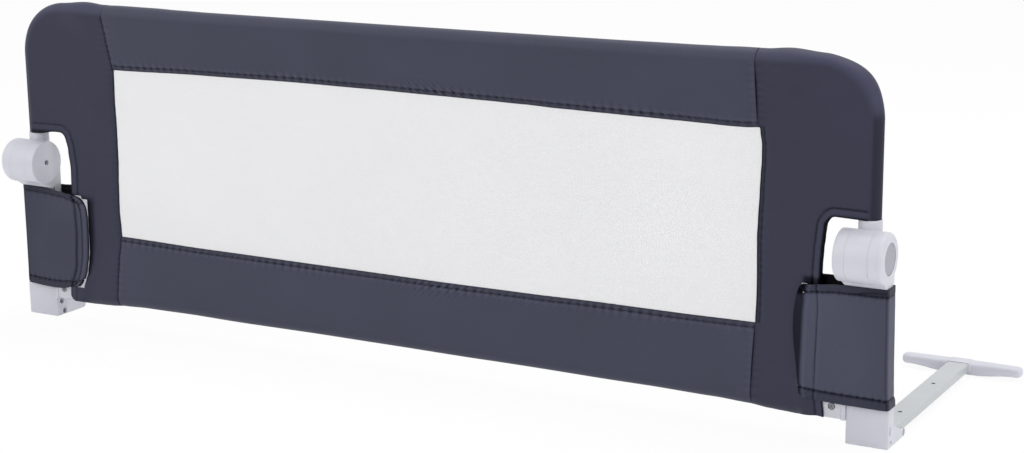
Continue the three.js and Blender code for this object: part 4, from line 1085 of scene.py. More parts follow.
class PocketShape:
    """Where the corners of a pocket's grid go.

    Its columns run from the flap's tip over the front, round the outer side and along the back.
    """

    def __init__(self, side, sizes):
        step = sizes.cloth_step * 0.8
        self.side, self.sizes, self.step = side, sizes, step
        self.tall = POCKET_HIGH - POCKET_LOW
        self.rows = round(1.15 * self.tall / step)
        self.face = round(112 / step)
        self.outer_side = round(26 / step)
        self.back = round(78 / step)
        self.columns = self.face + self.outer_side + self.back
        self.row_places = crowded(self.rows, self.tall, (1.0, 11.0, self.tall - 9.0, self.tall - 1.0))
        self.face_places = crowded(self.face, POCKET_FACE, (2.0, 10.0, 26.0, 106.0))
        self.corner = 1.7 if side > 0 else 3.6
        self.strong = 1.0 if side > 0 else 0.6
        self.top_line, self.foot_line = (9.2, 10.6) if side > 0 else (7.0, 9.4)

    def tip(self, share):
        """Place and height of the flap's tip at a share of the pocket's height."""
        rows = POCKET_TIP[self.side]
        return along(share, [(at, x) for at, x, _ in rows]), along(share, [(at, z) for at, _, z in rows])

    def on_face(self, i, share, outer):
        """Bare place, its hems' heights and the way out, on the front."""
        run = self.face_places[i] / POCKET_FACE
        tip_x, tip_z = self.tip(share)
        x = tip_x + (outer - self.corner - tip_x) * run
        top, low = smooth_along(x, POCKET_TOP[self.side]), smooth_along(x, POCKET_FOOT[self.side])
        z = low + (top - low) * share
        z += (tip_z - z) * ramp(run, 0.34, 0.0) ** 2
        return x, POCKET_FRONT_Y, z, top, low, (0, -1)

    def on_outer_side(self, i, share, outer):
        """The same on the outer side, between its two rounded corners."""
        corner = self.corner
        arc = corner * math.pi / 2
        around = 2 * arc + POCKET_BACK_Y - POCKET_FRONT_Y - 2 * corner
        at = (i - self.face) / self.outer_side * around
        if at < arc:
            normal = (math.sin(at / corner), -math.cos(at / corner))
            middle_y = POCKET_FRONT_Y + corner
        elif at < around - arc:
            normal = (1, 0)
            middle_y = POCKET_FRONT_Y + corner + (at - arc)
        else:
            turn = (at - around + arc) / corner
            normal = (math.cos(turn), math.sin(turn))
            middle_y = POCKET_BACK_Y - corner
        top = 177.8
        low = 44.4 + 6.3 * ramp(at, 0, 0.6 * arc) if self.side < 0 else 45.2
        x, y = outer - corner + corner * normal[0], middle_y + corner * normal[1]
        return x, y, low + (top - low) * share, top, low, normal

    def on_back(self, i, share, outer):
        """The same on the back, which steps up over the base block's screws."""
        start = outer - self.corner
        run = (i - self.face - self.outer_side) / self.back
        x = start + (NOTCH_X - 9.0 - start) * run
        if self.side > 0:
            top = 177.8 - 4.2 * ramp(x, 575, 550) + 7.4 * ramp(x, 549, 531)
        else:
            top = 178.0 + 1.0 * ramp(x, 548, 530)
        low = 61.0 - (15.8 if self.side > 0 else 10.3) * ramp(x, BLOCK_INNER - 3, BLOCK_INNER + 3)
        y = POCKET_BACK_Y - 1.2 * ramp(x, 534, 515)
        return x, y, low + (top - low) * share, top, low, (0, 1)

    def hems(self, x, y, past_top, past_foot, on_face):
        """The two folded hems by the distance past their stitches: lift, stitches' depth, and painted shade
        in their stitched grooves and over their folded bands.
        """
        lift = self.sizes.hem_lift * (ramp(past_top, 0, -1.4) + ramp(past_foot, 0, -1.2))
        line = stitched_line(past_top, 1.2) + stitched_line(past_foot, 1.2)
        ticks = 0.8 + 0.2 * math.sin(2 * math.pi * (x + y) / 6.0)
        # Painted shade in the stitched grooves in stitch dashes, and over the hems' folded bands, weaker at
        # the left end.
        painted_shading = -(0.62 * stitched_line(past_top, 1.6) + 0.66 * stitched_line(past_foot, 1.5)) * ticks
        painted_shading -= 0.36 * ramp(past_top, 0, -1) + 0.27 * ramp(past_foot, 0, -1)
        painted_shading *= self.strong
        # A second line of painted shade below the top hem, on the right pocket's front.
        if self.side > 0 and on_face:
            second_row = past_top + 4.6 - 4.6 * ramp(x, 590, 550)
            painted_shading -= 0.3 * stitched_line(second_row, 0.9) * ramp(x, 548, 575)
        return lift, line, painted_shading

    def flap(self, x, z, from_tip):
        """The flap's rolled edge and seam, and the face's billow: lift, how far it lies back, and painted
        shade and highlight.
        """
        from_edge = x - smooth_along(z, FLAP_EDGE[self.side])
        from_seam = x - smooth_along(z, FLAP_SEAM[self.side])
        roll = ramp(from_edge, 0.4, -5.5)
        # Painted shade on the flap's rolled edge and tip and in its stitched grooves, and painted
        # highlights on the ridges beside them.
        if self.side > 0:
            painted_shading = 0.2 * hill(from_edge, 1.6, 1.2) - 0.4 * stitched_line(from_seam, 1.0)
            painted_shading += 0.14 * hill(from_seam, 2.4, 1.4) - 0.68 * roll
        else:
            painted_shading = 0.28 * hill(from_tip, 5.5, 1.6) - 0.55 * ramp(from_tip, 2.8, 0.8)
            painted_shading -= 0.45 * stitched_line(from_tip - 9.2, 1.2) + 0.45 * stitched_line(from_seam, 2.3)
        lift = 0.5 * hill(from_edge, 1.2, 2.0) - 0.9 * stitched_line(from_seam, 1.2)
        lift += 0.5 * self.sizes.hem_lift * ramp(from_seam, -0.2, -1.6) * (1 - roll)
        lift += 0.4 * puckers(from_seam - 1, z, 8, 4) + 0.3 * puckers(from_edge - 2, z, 7, 3)
        high, wide = (min(1.0, max(0.0, share)) for share in ((z - 57) / 110, (x - 520) / 80))
        lift += self.sizes.pocket_billow * math.sin(math.pi * high) * math.sin(math.pi * wide)
        lift += 0.35 * hill(x + 0.4 * (z - 110), 560, 10) * hill(z, 115, 30)
        corner_z = 163 if self.side < 0 else 168
        crush = hill(math.hypot(x - 506, z - corner_z), 0, 9) * math.sin(0.9 * (x + z))
        back = 1.5 * roll + 0.9 * ramp(from_tip, 2.2, 0) ** 2 * (1 - roll)
        # The crushed corner's wrinkles also get painted light and shade.
        return lift + 0.5 * crush, back, painted_shading + 0.14 * crush

    def place(self, i, j):
        share = self.row_places[j] / self.tall
        outer = smooth_along(POCKET_LOW + self.tall * share, POCKET_OUTER[self.side])
        on_face, on_back = i <= self.face, i > self.face + self.outer_side
        bare = self.on_face if on_face else self.on_back if on_back else self.on_outer_side
        x, y, z, top, low, normal = bare(i, share, outer)
        past_top, past_foot = top - z - self.top_line, z - low - self.foot_line
        hem, line, painted_shading = self.hems(x, y, past_top, past_foot, on_face)
        gathers = 0.55 * puckers(past_foot - 1, x + y, 9, 5)
        gathers += 0.35 * puckers(past_top - 1, x + y + 4, 12, 5)
        flatten = 1.0 if on_back else 1 - 0.85 * ramp(x, outer - 9, outer - 3)
        lift = (hem - line) * flatten + gathers * (1 if on_face else 0.5)
        if on_face:
            flap_lift, back, flap_painted_shading = self.flap(x, z, x - self.tip(share)[0])
            lift += flap_lift
            y += back
            # Painted shade in the crease along the front's outer corner, below the top hem.
            painted_shading += flap_painted_shading - 0.3 * hill(x, outer - self.corner + 0.3, 1.0) * ramp(past_top, 0, 2)
            # Over the front, painted light towards the top on the flap's side and painted shade towards the
            # outer corner.
            painted_shading += 0.06 * ramp(x, 575, 530) * ramp(z, 110, 160) - 0.05 * ramp(x, 565, 598)
        elif not on_back:
            # A painted highlight on the pocket's outer side, past its front corner.
            past_corner = ramp((i - self.face) / self.outer_side, 0.05, 0.2)
            painted_shading += 0.16 * past_corner * ramp(z, 50, 60) * ramp(z, 172, 163)
        # Painted light and shade following the gathers, and painted shade over the whole left pocket.
        painted_shading += 0.12 * gathers - (0.15 if self.side < 0 else 0.0)
        return self.side * (x + normal[0] * lift), y + normal[1] * lift, z, max(-1.0, min(1.0, painted_shading))

    def flat(self, i, j):
        """A corner's place on the flat cut, in metres."""
        return i * self.step * MM, self.row_places[j] * MM


def make_pocket(side, sizes):
    """The pocket round the hinge column: flap, front, outer side and the back that reaches the panel."""
    shape = PocketShape(side, sizes)
    bm = cloth_grid(shape.columns, shape.rows, shape.place, shape.flat)
    end = "left" if side < 0 else "right"
    kinds, near = ("pocket", "lining"), (side * 560, POCKET_FRONT_Y, 110)
    pocket = cloth_piece(bm, f"column_pocket_{end}", kinds, near, sizes.cloth_thickness * 1.3, 60)
    take_place(pocket, "base_frame", "pocket_cloth", f"pocket_{end}")
    return pocket


STRIP_EDGE = {
    -1: [(46.5, 503.2), (60, 499.4), (70, 496.3), (85, 493.6), (100, 492.0), (122, 491.3), (145, 491.6),
         (155, 491.4), (160, 491.2), (172.5, 491.2)],
    1: [(60, 506), (120, 504), (160, 504.5), (169, 504.5), (173.6, 502.6)],
}
STRIP_HEIGHTS = {-1: (46.5, 170.8), 1: (60.5, 173.6)}
STRIP_OUTER = {-1: 514, 1: 522}


def make_closing_strip(side):
    """The hook-and-loop strip between the flap and the panel, with a step at its head."""
    end = "left" if side < 0 else "right"
    low_z, high_z = STRIP_HEIGHTS[side]
    columns, rows = 20, 110

    def place(i, j):
        share = i / columns
        z = low_z + (high_z - low_z) * j / rows
        inner = smooth_along(z, STRIP_EDGE[side])
        x = inner + (STRIP_OUTER[side] - inner) * share
        z -= (3.0 * ramp(x, 508, 512) if side > 0 else 4.0 * ramp(x, 501.6, 500.8)) * j / rows
        y = -1.6 + 0.25 * math.sin(z / 7) * (1 - share) - 1.5 * ramp(z, 62, 56)
        return side * x, y, z, 0.0

    def flat(i, j):
        return i * 1.0 * MM, j * 1.1 * MM

    bm = cloth_grid(columns, rows, place, flat)
    strip = cloth_piece(bm, f"hook_strip_{end}", ("hooks",), (side * 500, -2, 110), 1.0, 60)
    take_place(strip, "base_frame", "hook_strip", f"closing_strip_{end}")
    return strip


# Rigid pieces, made at the right end and mirrored

ALONG_RAIL = (1, 0, 0)
UPWARDS = (0, 0, 1)

# The column along the rail, its two cheeks of the drum, and the fine joints that look closed
ARM_START_X = 551.6
COLUMN_OUTER_X = 598.8
INNER_CHEEK = (548.8, 561.8)
OUTER_CHEEK = (587.55, 603.2)
HEAD_SLICE = (561.95, 587.4)
NECK_SPAN = (215, 249.6)
BUTTON_SPAN = (595.3, 602.8)
BUTTON_RADIUS = 17.0

# Screws and bolts by their places: depth and height, place and height, and depth alone
HEEL_BOLT = (52, 5)
SOCKET_SCREW = (539.7, 40.4)
FOOT_SCREW_Y = 303
BLOCK_JOINT = {"inner": 579.49, "outer": 579.51}
AXLE_HOLE = 3.7


def fold_centre():
    return spot(0, FOLD_Y, FOLD_Z)


def turned_cutter(places, radius, centre, axis=ALONG_RAIL, steps=48):
    bm = bmesh.new()
    add_turned(bm, rounded_profile(places, radius), centre, axis, steps)
    return bm


def box_cutter(xs, ys, zs, chosen=None, radius=0.0, segments=4):
    bm = bmesh.new()
    add_box(bm, xs, ys, zs, chosen, radius, segments)
    return bm


def cross_cutters(centre, axis, radius, depth):
    """The cross that is pressed into a screw head."""
    cutters = []
    turn = Vector(axis).to_track_quat("Z", "Y").to_matrix().to_4x4()
    size = Matrix.Diagonal((1.3 * radius * MM, 0.32 * radius * MM, 2 * depth * MM, 1))
    for quarter in (0.35, 0.35 + math.pi / 2):
        bm = bmesh.new()
        turned = turn @ Matrix.Rotation(quarter, 4, "Z")
        bmesh.ops.create_cube(bm, size=1, matrix=Matrix.Translation(centre) @ turned @ size)
        cutters.append(bm)
    return cutters


def solid_piece(bm, name, kind, crease=38):
    """A piece from closed shells, in one finish."""
    turned_outwards(bm)
    return piece_from(bm, name, [finish_of(kind)], crease)


def lock_room():
    """The lock ring's room in the drum: inner end, outer end and radius, in millimetres."""
    end_gap, side_gap = 0.3, 1.2
    ring_low, ring_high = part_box("lock_ring_right")
    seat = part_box("button_spring_right")[0][0] / MM - end_gap
    return seat, ring_high[0] / MM + end_gap, (ring_high[1] - ring_low[1]) / 2 / MM + side_gap


def make_hinge_column(sizes):
    """The moulded column: shank in the pocket, lip, arms and the two drum cheeks."""
    bm = bmesh.new()
    steps = sizes.drum_steps
    fold = fold_centre()
    inner_arm, outer_arm = (ARM_START_X, INNER_CHEEK[1]), (OUTER_CHEEK[0], COLUMN_OUTER_X)
    add_box(bm, (BLOCK_INNER, COLUMN_OUTER_X), (-1.2, 17.2), (50.3, 184), runs_along(2), 2.2, 5)
    add_turned(bm, rounded_profile(INNER_CHEEK, DRUM_RADIUS, 2.0, 0.14), fold, ALONG_RAIL, steps)
    add_turned(bm, rounded_profile(OUTER_CHEEK, DRUM_RADIUS, 0.14, 4.8), fold, ALONG_RAIL, steps)
    add_box(bm, inner_arm, (6, 17.6), (160, 185), runs_along(2), 0.12, 2)
    for arm in (inner_arm, outer_arm):
        add_box(bm, arm, (FOLD_Y + 2, 18), (180, FOLD_Z), runs_along(2), 0.12, 2)
    lip = [(-1.5, 176.2), (-3.6, 177.2), (-8.5, 180.6), (-14, 184.2),
           (-12, 190), (4, 194), (8, 186), (4, 176.2)]
    verts = add_prism(bm, lip, (ARM_START_X, COLUMN_OUTER_X))
    edges = {edge for vert in verts for edge in vert.link_edges if runs_along(0)(edge)}
    round_edges(bm, edges, 1.2, 3)
    column = solid_piece(bm, "column", "plastic")
    _, ring_end, room = lock_room()
    carved(column, [
        turned_cutter((590, 610), BUTTON_RADIUS + 0.4, fold, steps=steps),
        turned_cutter((540, 553.6), AXLE_HOLE, fold),
        turned_cutter((INNER_CHEEK[1], OUTER_CHEEK[0]), DRUM_RADIUS + 0.5, fold, steps=steps),
        turned_cutter((587, ring_end), room, fold, steps=steps),
    ])
    set_at_both_ends(column, "base_frame", "shell_plastic", "hinge_column")


def make_hinge_head(sizes):
    """The middle slice of the drum, with the neck that holds the upright."""
    bm = bmesh.new()
    slice_profile = rounded_profile(HEAD_SLICE, DRUM_RADIUS - 0.05, 0.14, 0.14)
    add_turned(bm, slice_profile, fold_centre(), ALONG_RAIL, sizes.drum_steps)
    neck = spot(UPRIGHT_X, TUBE_Y, 0)
    add_turned(bm, rounded_profile(NECK_SPAN, 12.8, 0.2, 0.9), neck, UPWARDS, 72)
    head = solid_piece(bm, "head", "plastic")
    seat, ring_end, room = lock_room()
    carved(head, [turned_cutter((234, 260), 11.3, neck, UPWARDS, 56),
                  turned_cutter((seat, ring_end), room, fold_centre(), steps=sizes.drum_steps)])
    set_at_both_ends(head, "upper_rail", "shell_plastic", "hinge_head")


def make_button(sizes):
    """The grey push button, nearly flush in the drum's outer face."""
    bm = bmesh.new()
    profile = rounded_profile(BUTTON_SPAN, BUTTON_RADIUS, 0.0, 0.8)
    add_turned(bm, profile, fold_centre(), ALONG_RAIL, sizes.drum_steps)
    button = solid_piece(bm, "button", "button")
    set_at_both_ends(button, "END_button", "button_plastic", "release_button")


def make_springs(sizes):
    """The buttons' return springs: three turns of round wire, made at rest; they do not shorten when a
    button is pressed.
    """
    turns, steps, corners = 3, 24, 10
    for end, side in SIDES:
        low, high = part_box(f"button_spring_{end}")
        wire, coil = sizes.spring_wire / 2, 8.0
        fixed, moved = sorted((abs(low[0]) / MM, abs(high[0]) / MM))
        bm = bmesh.new()
        rings = []
        for i in range(turns * steps + 1):
            turn = 2 * math.pi * i / steps
            along_x = fixed + wire + (moved - fixed - 2 * wire) * i / (turns * steps)
            ring = []
            for j in range(corners):
                round_wire = 2 * math.pi * j / corners
                reach = coil + wire * math.cos(round_wire)
                x = side * (along_x + wire * math.sin(round_wire))
                corner = spot(x, FOLD_Y + reach * math.cos(turn), FOLD_Z + reach * math.sin(turn))
                ring.append(bm.verts.new(corner))
            rings.append(ring)
        for ring, following in zip(rings, rings[1:]):
            for j in range(corners):
                k = (j + 1) % corners
                bm.faces.new((ring[j], ring[k], following[k], following[j]))
        bm.faces.new(rings[0])
        bm.faces.new(rings[-1])
        spring = solid_piece(bm, f"return_spring_{end}", "steel", 50)
        start, stop = (spot(side * x, FOLD_Y, FOLD_Z) for x in (fixed, moved))
        node = f"button_spring_{end}"
        bend_between(spring, ("base_frame", f"{end}_button"), start, stop, "bare_steel", node)


def make_base_block():
    """The clamshell block with its heel, closed so finely that its joint hardly shows."""
    outline = [(0, 0), (57, 0), (57, 10), (47, 10), (18, 22), (18, 50), (0, 50)]
    bay = ((LEG_X - 13.9, LEG_X + 12.3), (21.7, 70), (5.4, 17.3))
    past = RAIL_HALF + 3
    screw_seat = (BLOCK_INNER - 3, BLOCK_INNER + 3.8)
    cuts = {
        "inner": [turned_cutter(screw_seat, 3.7, spot(0, y, z)) for y, z in BLOCK_SCREWS],
        "outer": [
            box_cutter((RAIL_HALF - 1.8, past), (4.6, 7.6), (14.0, 24.4), runs_along(0), 1.4, 6),
            turned_cutter((RAIL_HALF - 1.4, past), 1.9, spot(0, 10.1, 5.9)),
            turned_cutter((RAIL_HALF - 1.2, past), 4.5, spot(0, *HEEL_BOLT)),
        ],
    }
    spans = {"inner": (BLOCK_INNER, BLOCK_JOINT["inner"]), "outer": (BLOCK_JOINT["outer"], RAIL_HALF)}
    for half, (start, end) in spans.items():
        bm = bmesh.new()
        add_prism(bm, outline, (start, end))
        turned_outwards(bm)
        heel = [edge for edge in bm.edges if runs_along(0)(edge)
                and abs(edge.verts[0].co.y - spot(0, 57, 0).y) < 1e-5]
        round_edges(bm, heel, 4.9, 8)
        face_x = (start if half == "inner" else end) * MM
        rim = [edge for edge in bm.edges if all(abs(v.co.x - face_x) < 1e-6 for v in edge.verts)]
        long_edges = [edge for edge in bm.edges if runs_along(0)(edge) and edge.calc_face_angle(0) > 0.6
                      and edge.verts[0].co.y < spot(0, 30, 0).y]
        round_edges(bm, rim + long_edges, 1.3, 4)
        block = solid_piece(bm, f"block_{half}", "plastic")
        carved(block, [box_cutter(*bay)] + cuts[half], False)
        set_at_both_ends(block, "base_frame", "shell_plastic", f"base_block_{half}")


def make_heel_bolt():
    """The grey cap at the heel of the block."""
    bm = bmesh.new()
    profile = rounded_profile((RAIL_HALF - 1.2, RAIL_HALF - 0.1), 4.2, 0.1, 0.7)
    add_turned(bm, profile, spot(0, *HEEL_BOLT), ALONG_RAIL, 48)
    cap = solid_piece(bm, "heel_cap", "button")
    set_at_both_ends(cap, "base_frame", "button_plastic", "heel_bolt")


def make_leg():
    """The leg: rectangular steel tube with rounded edges and its two drilled holes."""
    bm = bmesh.new()
    add_box(bm, (LEG_X - 13.6, LEG_X + 12), (22, 306), (5.7, 17), runs_along(1), 2.2, 6)
    leg = solid_piece(bm, "leg_tube", "paint")
    hollow = box_cutter((LEG_X - 12.4, LEG_X + 10.8), (12, 320), (6.9, 15.8), runs_along(1), 1.0, 3)
    holes = [turned_cutter((12, 20), 2.5, spot(x, y, 0), UPWARDS, 40) for x, y in LEG_HOLES]
    carved(leg, [hollow] + holes, False)
    set_at_both_ends(leg, "base_frame", "painted_steel", "leg")


def make_foot():
    """The moulded cross foot: a slim round-ended bar across the leg's end, and its short sleeve."""
    bm = bmesh.new()
    half, radius = 73.0, 10
    tip = [(0.0, 0.0), (0.15, 0.34), (0.7, 0.58), (1.7, 0.78), (3.2, 0.92), (5.4, 0.985), (9.2, 1.0)]
    tip_end = tip[-1][0]
    straight = [(tip_end + (half - tip_end) * k / 14, 1.0) for k in range(1, 15)]
    profile = [(depth - half, radius * share) for depth, share in tip + straight]
    profile += [(-place, reach) for place, reach in profile[-2::-1]]
    middle = spot(LEG_X, FOOT_Y, 0)
    add_turned(bm, profile, middle, ALONG_RAIL, 48)
    turned_outwards(bm)
    for vert in bm.verts:
        place = (vert.co - middle) / MM
        reach = math.hypot(place.y, place.z) or 1.0
        share = reach / radius
        square_y = math.copysign(abs(place.y / reach) ** 0.7, place.y)
        square_z = math.copysign(abs(place.z / reach) ** 0.7, place.z)
        away = abs(place.x) / half
        low = 4.0 * ramp(away, 0.25, 0.85)
        high = 16.6 - 0.3 * ramp(away, 0.3, 0.95)
        deep = 10.0 - 1.5 * ramp(away, 0.15, 1.0)
        height = (low + high) / 2 + (high - low) / 2 * share * square_z
        vert.co = middle + Vector((place.x, deep * share * square_y, height)) * MM
    add_box(bm, (LEG_X - 14.4, LEG_X + 12.8), (293, 311), (4.9, 17.6), runs_along(1), 2.5, 5)
    foot = solid_piece(bm, "foot", "plastic", 40)
    carved(foot, [
        box_cutter((LEG_X - 13.75, LEG_X + 12.15), (270, 306.2), (5.55, 17.15), runs_along(1), 2.2, 4),
        turned_cutter((-2, 3.6), 3.9, spot(LEG_X, FOOT_SCREW_Y, 0), UPWARDS, 40),
    ])
    set_at_both_ends(foot, "base_frame", "shell_plastic", "leg_foot")


def make_socket():
    """The crossbar's socket beside the block, with its flange."""
    screw_x, screw_z = SOCKET_SCREW
    bm = bmesh.new()
    add_box(bm, (505.0, 550.5), (-1.7, 20.7), (27.0, 58.0), None, 1.2, 3)
    add_box(bm, (550.3, 555.45), (-1.9, 21.5), (26.2, 58.0), None, 0.5, 3)
    socket = solid_piece(bm, "socket", "plastic")
    carved(socket, [
        turned_cutter((495, 548.2), 9.8, spot(0, CROSSBAR_Y, CROSSBAR_Z)),
        turned_cutter((-10, 0.4), 4.3, spot(screw_x, 0, screw_z), (0, 1, 0), 40),
    ])
    set_at_both_ends(socket, "base_frame", "shell_plastic", "crossbar_socket")


def make_screws():
    """The screws that can be seen: domed heads with a cross, on their shanks."""
    screw_x, screw_z = SOCKET_SCREW
    places = [
        ("socket_screw", spot(screw_x, -1.2, screw_z), (0, -1, 0), 3.4, 1.5),
        ("axle_screw", spot(552.6, FOLD_Y, FOLD_Z), (-1, 0, 0), 1.9, 0.9),
        ("foot_screw", spot(LEG_X, FOOT_SCREW_Y, 1.0), (0, 0, -1), 3.5, 2.0),
    ]
    names = ("block_screw_top", "block_screw_front", "block_screw_low")
    depths, radii = (2.2, 2.6, 2.2), (3.0, 2.6, 3.0)
    places += [(name, spot(BLOCK_INNER + deep, y, z), (-1, 0, 0), radius, 1.2)
               for name, deep, radius, (y, z) in zip(names, depths, radii, BLOCK_SCREWS)]
    for name, centre, axis, radius, height in places:
        bm = bmesh.new()
        profile = [(-height, 0.0), (-height, radius)]
        for k in range(7):
            angle = k / 6 * math.pi / 2
            dome = radius * (1 - 0.35 * (1 - math.cos(angle)))
            profile.append((-0.45 * height * (1 - math.sin(angle)), dome))
        add_turned(bm, profile + [(0.0, 0.0)], centre, axis, 40)
        add_turned(bm, rounded_profile((-12, -0.6 * height), 1.9), centre, axis, 24)
        # The axle's screw is painted dark, as the shade in its hole.
        kind = "shade_dark_steel" if name == "axle_screw" else "steel"
        screw = solid_piece(bm, f"{name}_head", kind)
        carved(screw, cross_cutters(centre, axis, 0.75 * radius, 1.0))
        set_at_both_ends(screw, "base_frame", "bare_steel", name)


CARRIED_OVER = {
    "paint": ["side_tube_left", "side_tube_right", "top_tube", "crossbar"],
    "plastic": ["lock_ring_left", "lock_ring_right"],
    "steel": ["leg_pin_left", "leg_pin_right", "hinge_axle_left", "hinge_axle_right"],
}


def dress_inner_parts():
    """The tubes and the parts inside the drums keep their shapes and take a finish."""
    for kind, names in CARRIED_OVER.items():
        for name in names:
            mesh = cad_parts[name].data
            mesh.materials.clear()
            mesh.materials.append(finish_of(kind))


# Stage

def make_floor(looks):
    """The pale floor: white to the eye, and it still keeps a trace of the rail's shadow."""
    bm = bmesh.new()
    just_below = Matrix.Translation((0, 0, -0.0004))
    bmesh.ops.create_grid(bm, x_segments=2, y_segments=2, size=6, matrix=just_below)
    finish = Finish("floor")
    output = next(node for node in finish.tree.nodes if node.type == "OUTPUT_MATERIAL")
    finish.surface(Base_Color=WHITE, Roughness=0.9)
    share = finish.math("MULTIPLY", finish.seen_directly(), 1 - looks.shadow_share)
    glow = finish.node("ShaderNodeEmission")
    glow.inputs["Strength"].default_value = 1.0
    glow.inputs["Color"].default_value = WHITE
    finish.mixed(share, finish.shader.outputs["BSDF"], glow.outputs["Emission"], output)
    floor = piece_from(bm, "studio_floor", [finish.material])


def make_sky(looks):
    """Even studio light from all round, seen as plain white."""
    world = bpy.data.worlds.new("studio")
    bpy.context.scene.world = world
    world.use_nodes = True
    sky = NodeTree(world.node_tree)
    ambient = next(node for node in sky.tree.nodes if node.type == "BACKGROUND")
    output = next(node for node in sky.tree.nodes if node.type == "OUTPUT_WORLD")
    white = sky.node("ShaderNodeBackground")
    for light, strength in ((ambient, looks.ambient), (white, 1.0)):
        light.inputs["Color"].default_value = WHITE
        light.inputs["Strength"].default_value = strength
    sky.mixed(sky.seen_directly(), ambient.outputs["Background"], white.outputs["Background"], output)


def add_lamp(name, place, aim, size, energy):
    lamp = bpy.data.lights.new(name, "AREA")
    lamp.shape = "RECTANGLE"
    lamp.size, lamp.size_y = size
    lamp.energy = energy
    holder = bpy.data.objects.new(name, lamp)
    holder.location = place
    holder.rotation_euler = (Vector(aim) - Vector(place)).to_track_quat("-Z", "Y").to_euler()
    bpy.context.scene.collection.objects.link(holder)


CAMERA_PLACE = (1.2743, -2.1342, 0.7312)
CAMERA_TURNS = (29.51, 13.11, -0.60)
SENSOR_WIDTH = 36
PICTURE_WIDTH = 1024
FOCAL_PIXELS = 2039


def make_camera():
    """A long lens from the right, above the rail's middle height, looking down a little."""
    lens = bpy.data.cameras.new("camera")
    camera = bpy.data.objects.new("camera", lens)
    bpy.context.scene.collection.objects.link(camera)
    lens.sensor_width = SENSOR_WIDTH
    lens.lens = FOCAL_PIXELS * SENSOR_WIDTH / PICTURE_WIDTH
    lens.clip_end = 20
    yaw, pitch, roll = (math.radians(turn) for turn in CAMERA_TURNS)
    ahead = Vector((-math.sin(yaw) * math.cos(pitch), math.cos(yaw) * math.cos(pitch), -math.sin(pitch)))
    level = Vector((math.cos(yaw), math.sin(yaw), 0))
    upwards = level.cross(ahead)
    right = level * math.cos(roll) + upwards * math.sin(roll)
    top = upwards * math.cos(roll) - level * math.sin(roll)
    rows = [(*axes, place) for *axes, place in zip(right, top, -ahead, CAMERA_PLACE)]
    camera.matrix_world = Matrix((*rows, (0, 0, 0, 1)))
    bpy.context.scene.camera = camera


# Sizes and looks that a user may change

def millimetres(name, description, default, low, high):
    """A size in millimetres."""
    return FloatProperty(name=name, description=f"{description}, in mm", default=default, min=low, max=high)


def screen_colour(name, description, red, green, blue):
    """A colour as a screen shows it, from 0 to 255."""
    colour = (red / 255, green / 255, blue / 255)
    return FloatVectorProperty(name=name, description=description, default=colour, subtype="COLOR_GAMMA",
                               size=3, min=0, max=1)


def lamp_power(name, description, default):
    """The power of a lamp, in watts."""
    return FloatProperty(name=name, description=description, default=default, min=0.0, unit="POWER")


class RailSizes(bpy.types.PropertyGroup):
    """Sizes of the cloth and its details, in millimetres."""

    cloth_thickness: millimetres("Cloth thickness", "Thickness of one layer of cloth", 0.7, 0.2, 2.0)
    cloth_step: millimetres("Cloth step", "Distance between the corners of the cloth's grid", 2.0, 1.5, 8.0)
    hem_lift: millimetres("Hem lift", "How far a folded hem stands out", 0.7, 0.0, 2.0)
    window_hem: millimetres("Window hem", "Width of the hem round the window", 5.8, 3.0, 12.0)
    sleeve_slack: millimetres("Sleeve slack", "Fullness of the sleeve at the top corners", 3.4, 0.0, 8.0)
    strip_looseness: millimetres("Strip looseness", "Fullness of the strips on their tubes", 1.2, 0.0, 4.0)
    pocket_billow: millimetres("Pocket billow", "How far the pocket's front bulges", 1.0, 0.0, 4.0)
    thread: millimetres("Thread", "Distance between the threads of the weave", 0.55, 0.2, 2.0)
    net_pitch: millimetres("Net pitch", "Distance between the eyes of the net", 2.0, 1.0, 6.0)
    spring_wire: millimetres("Spring wire", "Thickness of the return springs' wire", 1.6, 0.6, 2.4)
    drum_steps: IntProperty(name="Drum steps", description="Facets round a hinge drum",
                            default=96, min=24, max=256)


class RailLooks(bpy.types.PropertyGroup):
    """Colours as a screen shows them, and the strength of the studio light."""

    panel: screen_colour("Side panels", "Cloth of the side panels", 47, 48, 67)
    strip: screen_colour("Strips", "Cloth of the top and bottom strips", 60, 62, 80)
    pocket: screen_colour("Pockets", "Cloth of the pockets", 66, 69, 87)
    # The inner side's colour is painted darker than the outer cloth, as shade inside the layers and along
    # the cut edges.
    lining: screen_colour("Lining", "Inner side of the cloth", 30, 30, 42)
    net: screen_colour("Net", "Net of the window", 241, 241, 243)
    plastic: screen_colour("Shells", "Moulded shells", 211, 211, 221)
    button: screen_colour("Buttons", "Push buttons and heel bolts", 165, 166, 175)
    paint: screen_colour("Steel tubes", "Powder coat of the tubes", 190, 194, 197)
    steel: screen_colour("Steel", "Plated steel of screws, pins and springs", 138, 140, 144)
    # The axle screw's steel is painted dark to stand for the shade in its hole, not for blackened steel.
    shade_dark_steel: screen_colour("Dark steel", "Blackened steel of the axle's screw", 50, 51, 54)
    hooks: screen_colour("Closing strips", "Hook-and-loop strips", 214, 216, 224)
    ambient: FloatProperty(name="Ambient light", description="Strength of the even light", default=0.54,
                           min=0.0, max=2.0)
    key: lamp_power("Key light", "Power of the large lamp in front", 25.0)
    fill: lamp_power("Fill light", "Power of the lamp on the right", 15.0)
    above: lamp_power("Light from above", "Power of the wide lamp above the rail", 54.0)
    shadow_share: FloatProperty(name="Shadow share", description="Share of the shadow the eye sees",
                                default=0.08, min=0.0, max=1.0)


class RAIL_OT_cover(bpy.types.Operator):
    """Make the two side panels of the stretched cover"""

    bl_idname = "rail.cover"
    bl_label = "Side panels"

    def execute(self, context):
        sizes = context.scene.rail_sizes
        for end, side in SIDES:
            panel = make_side_panel(side, sizes)
        return {"FINISHED"}


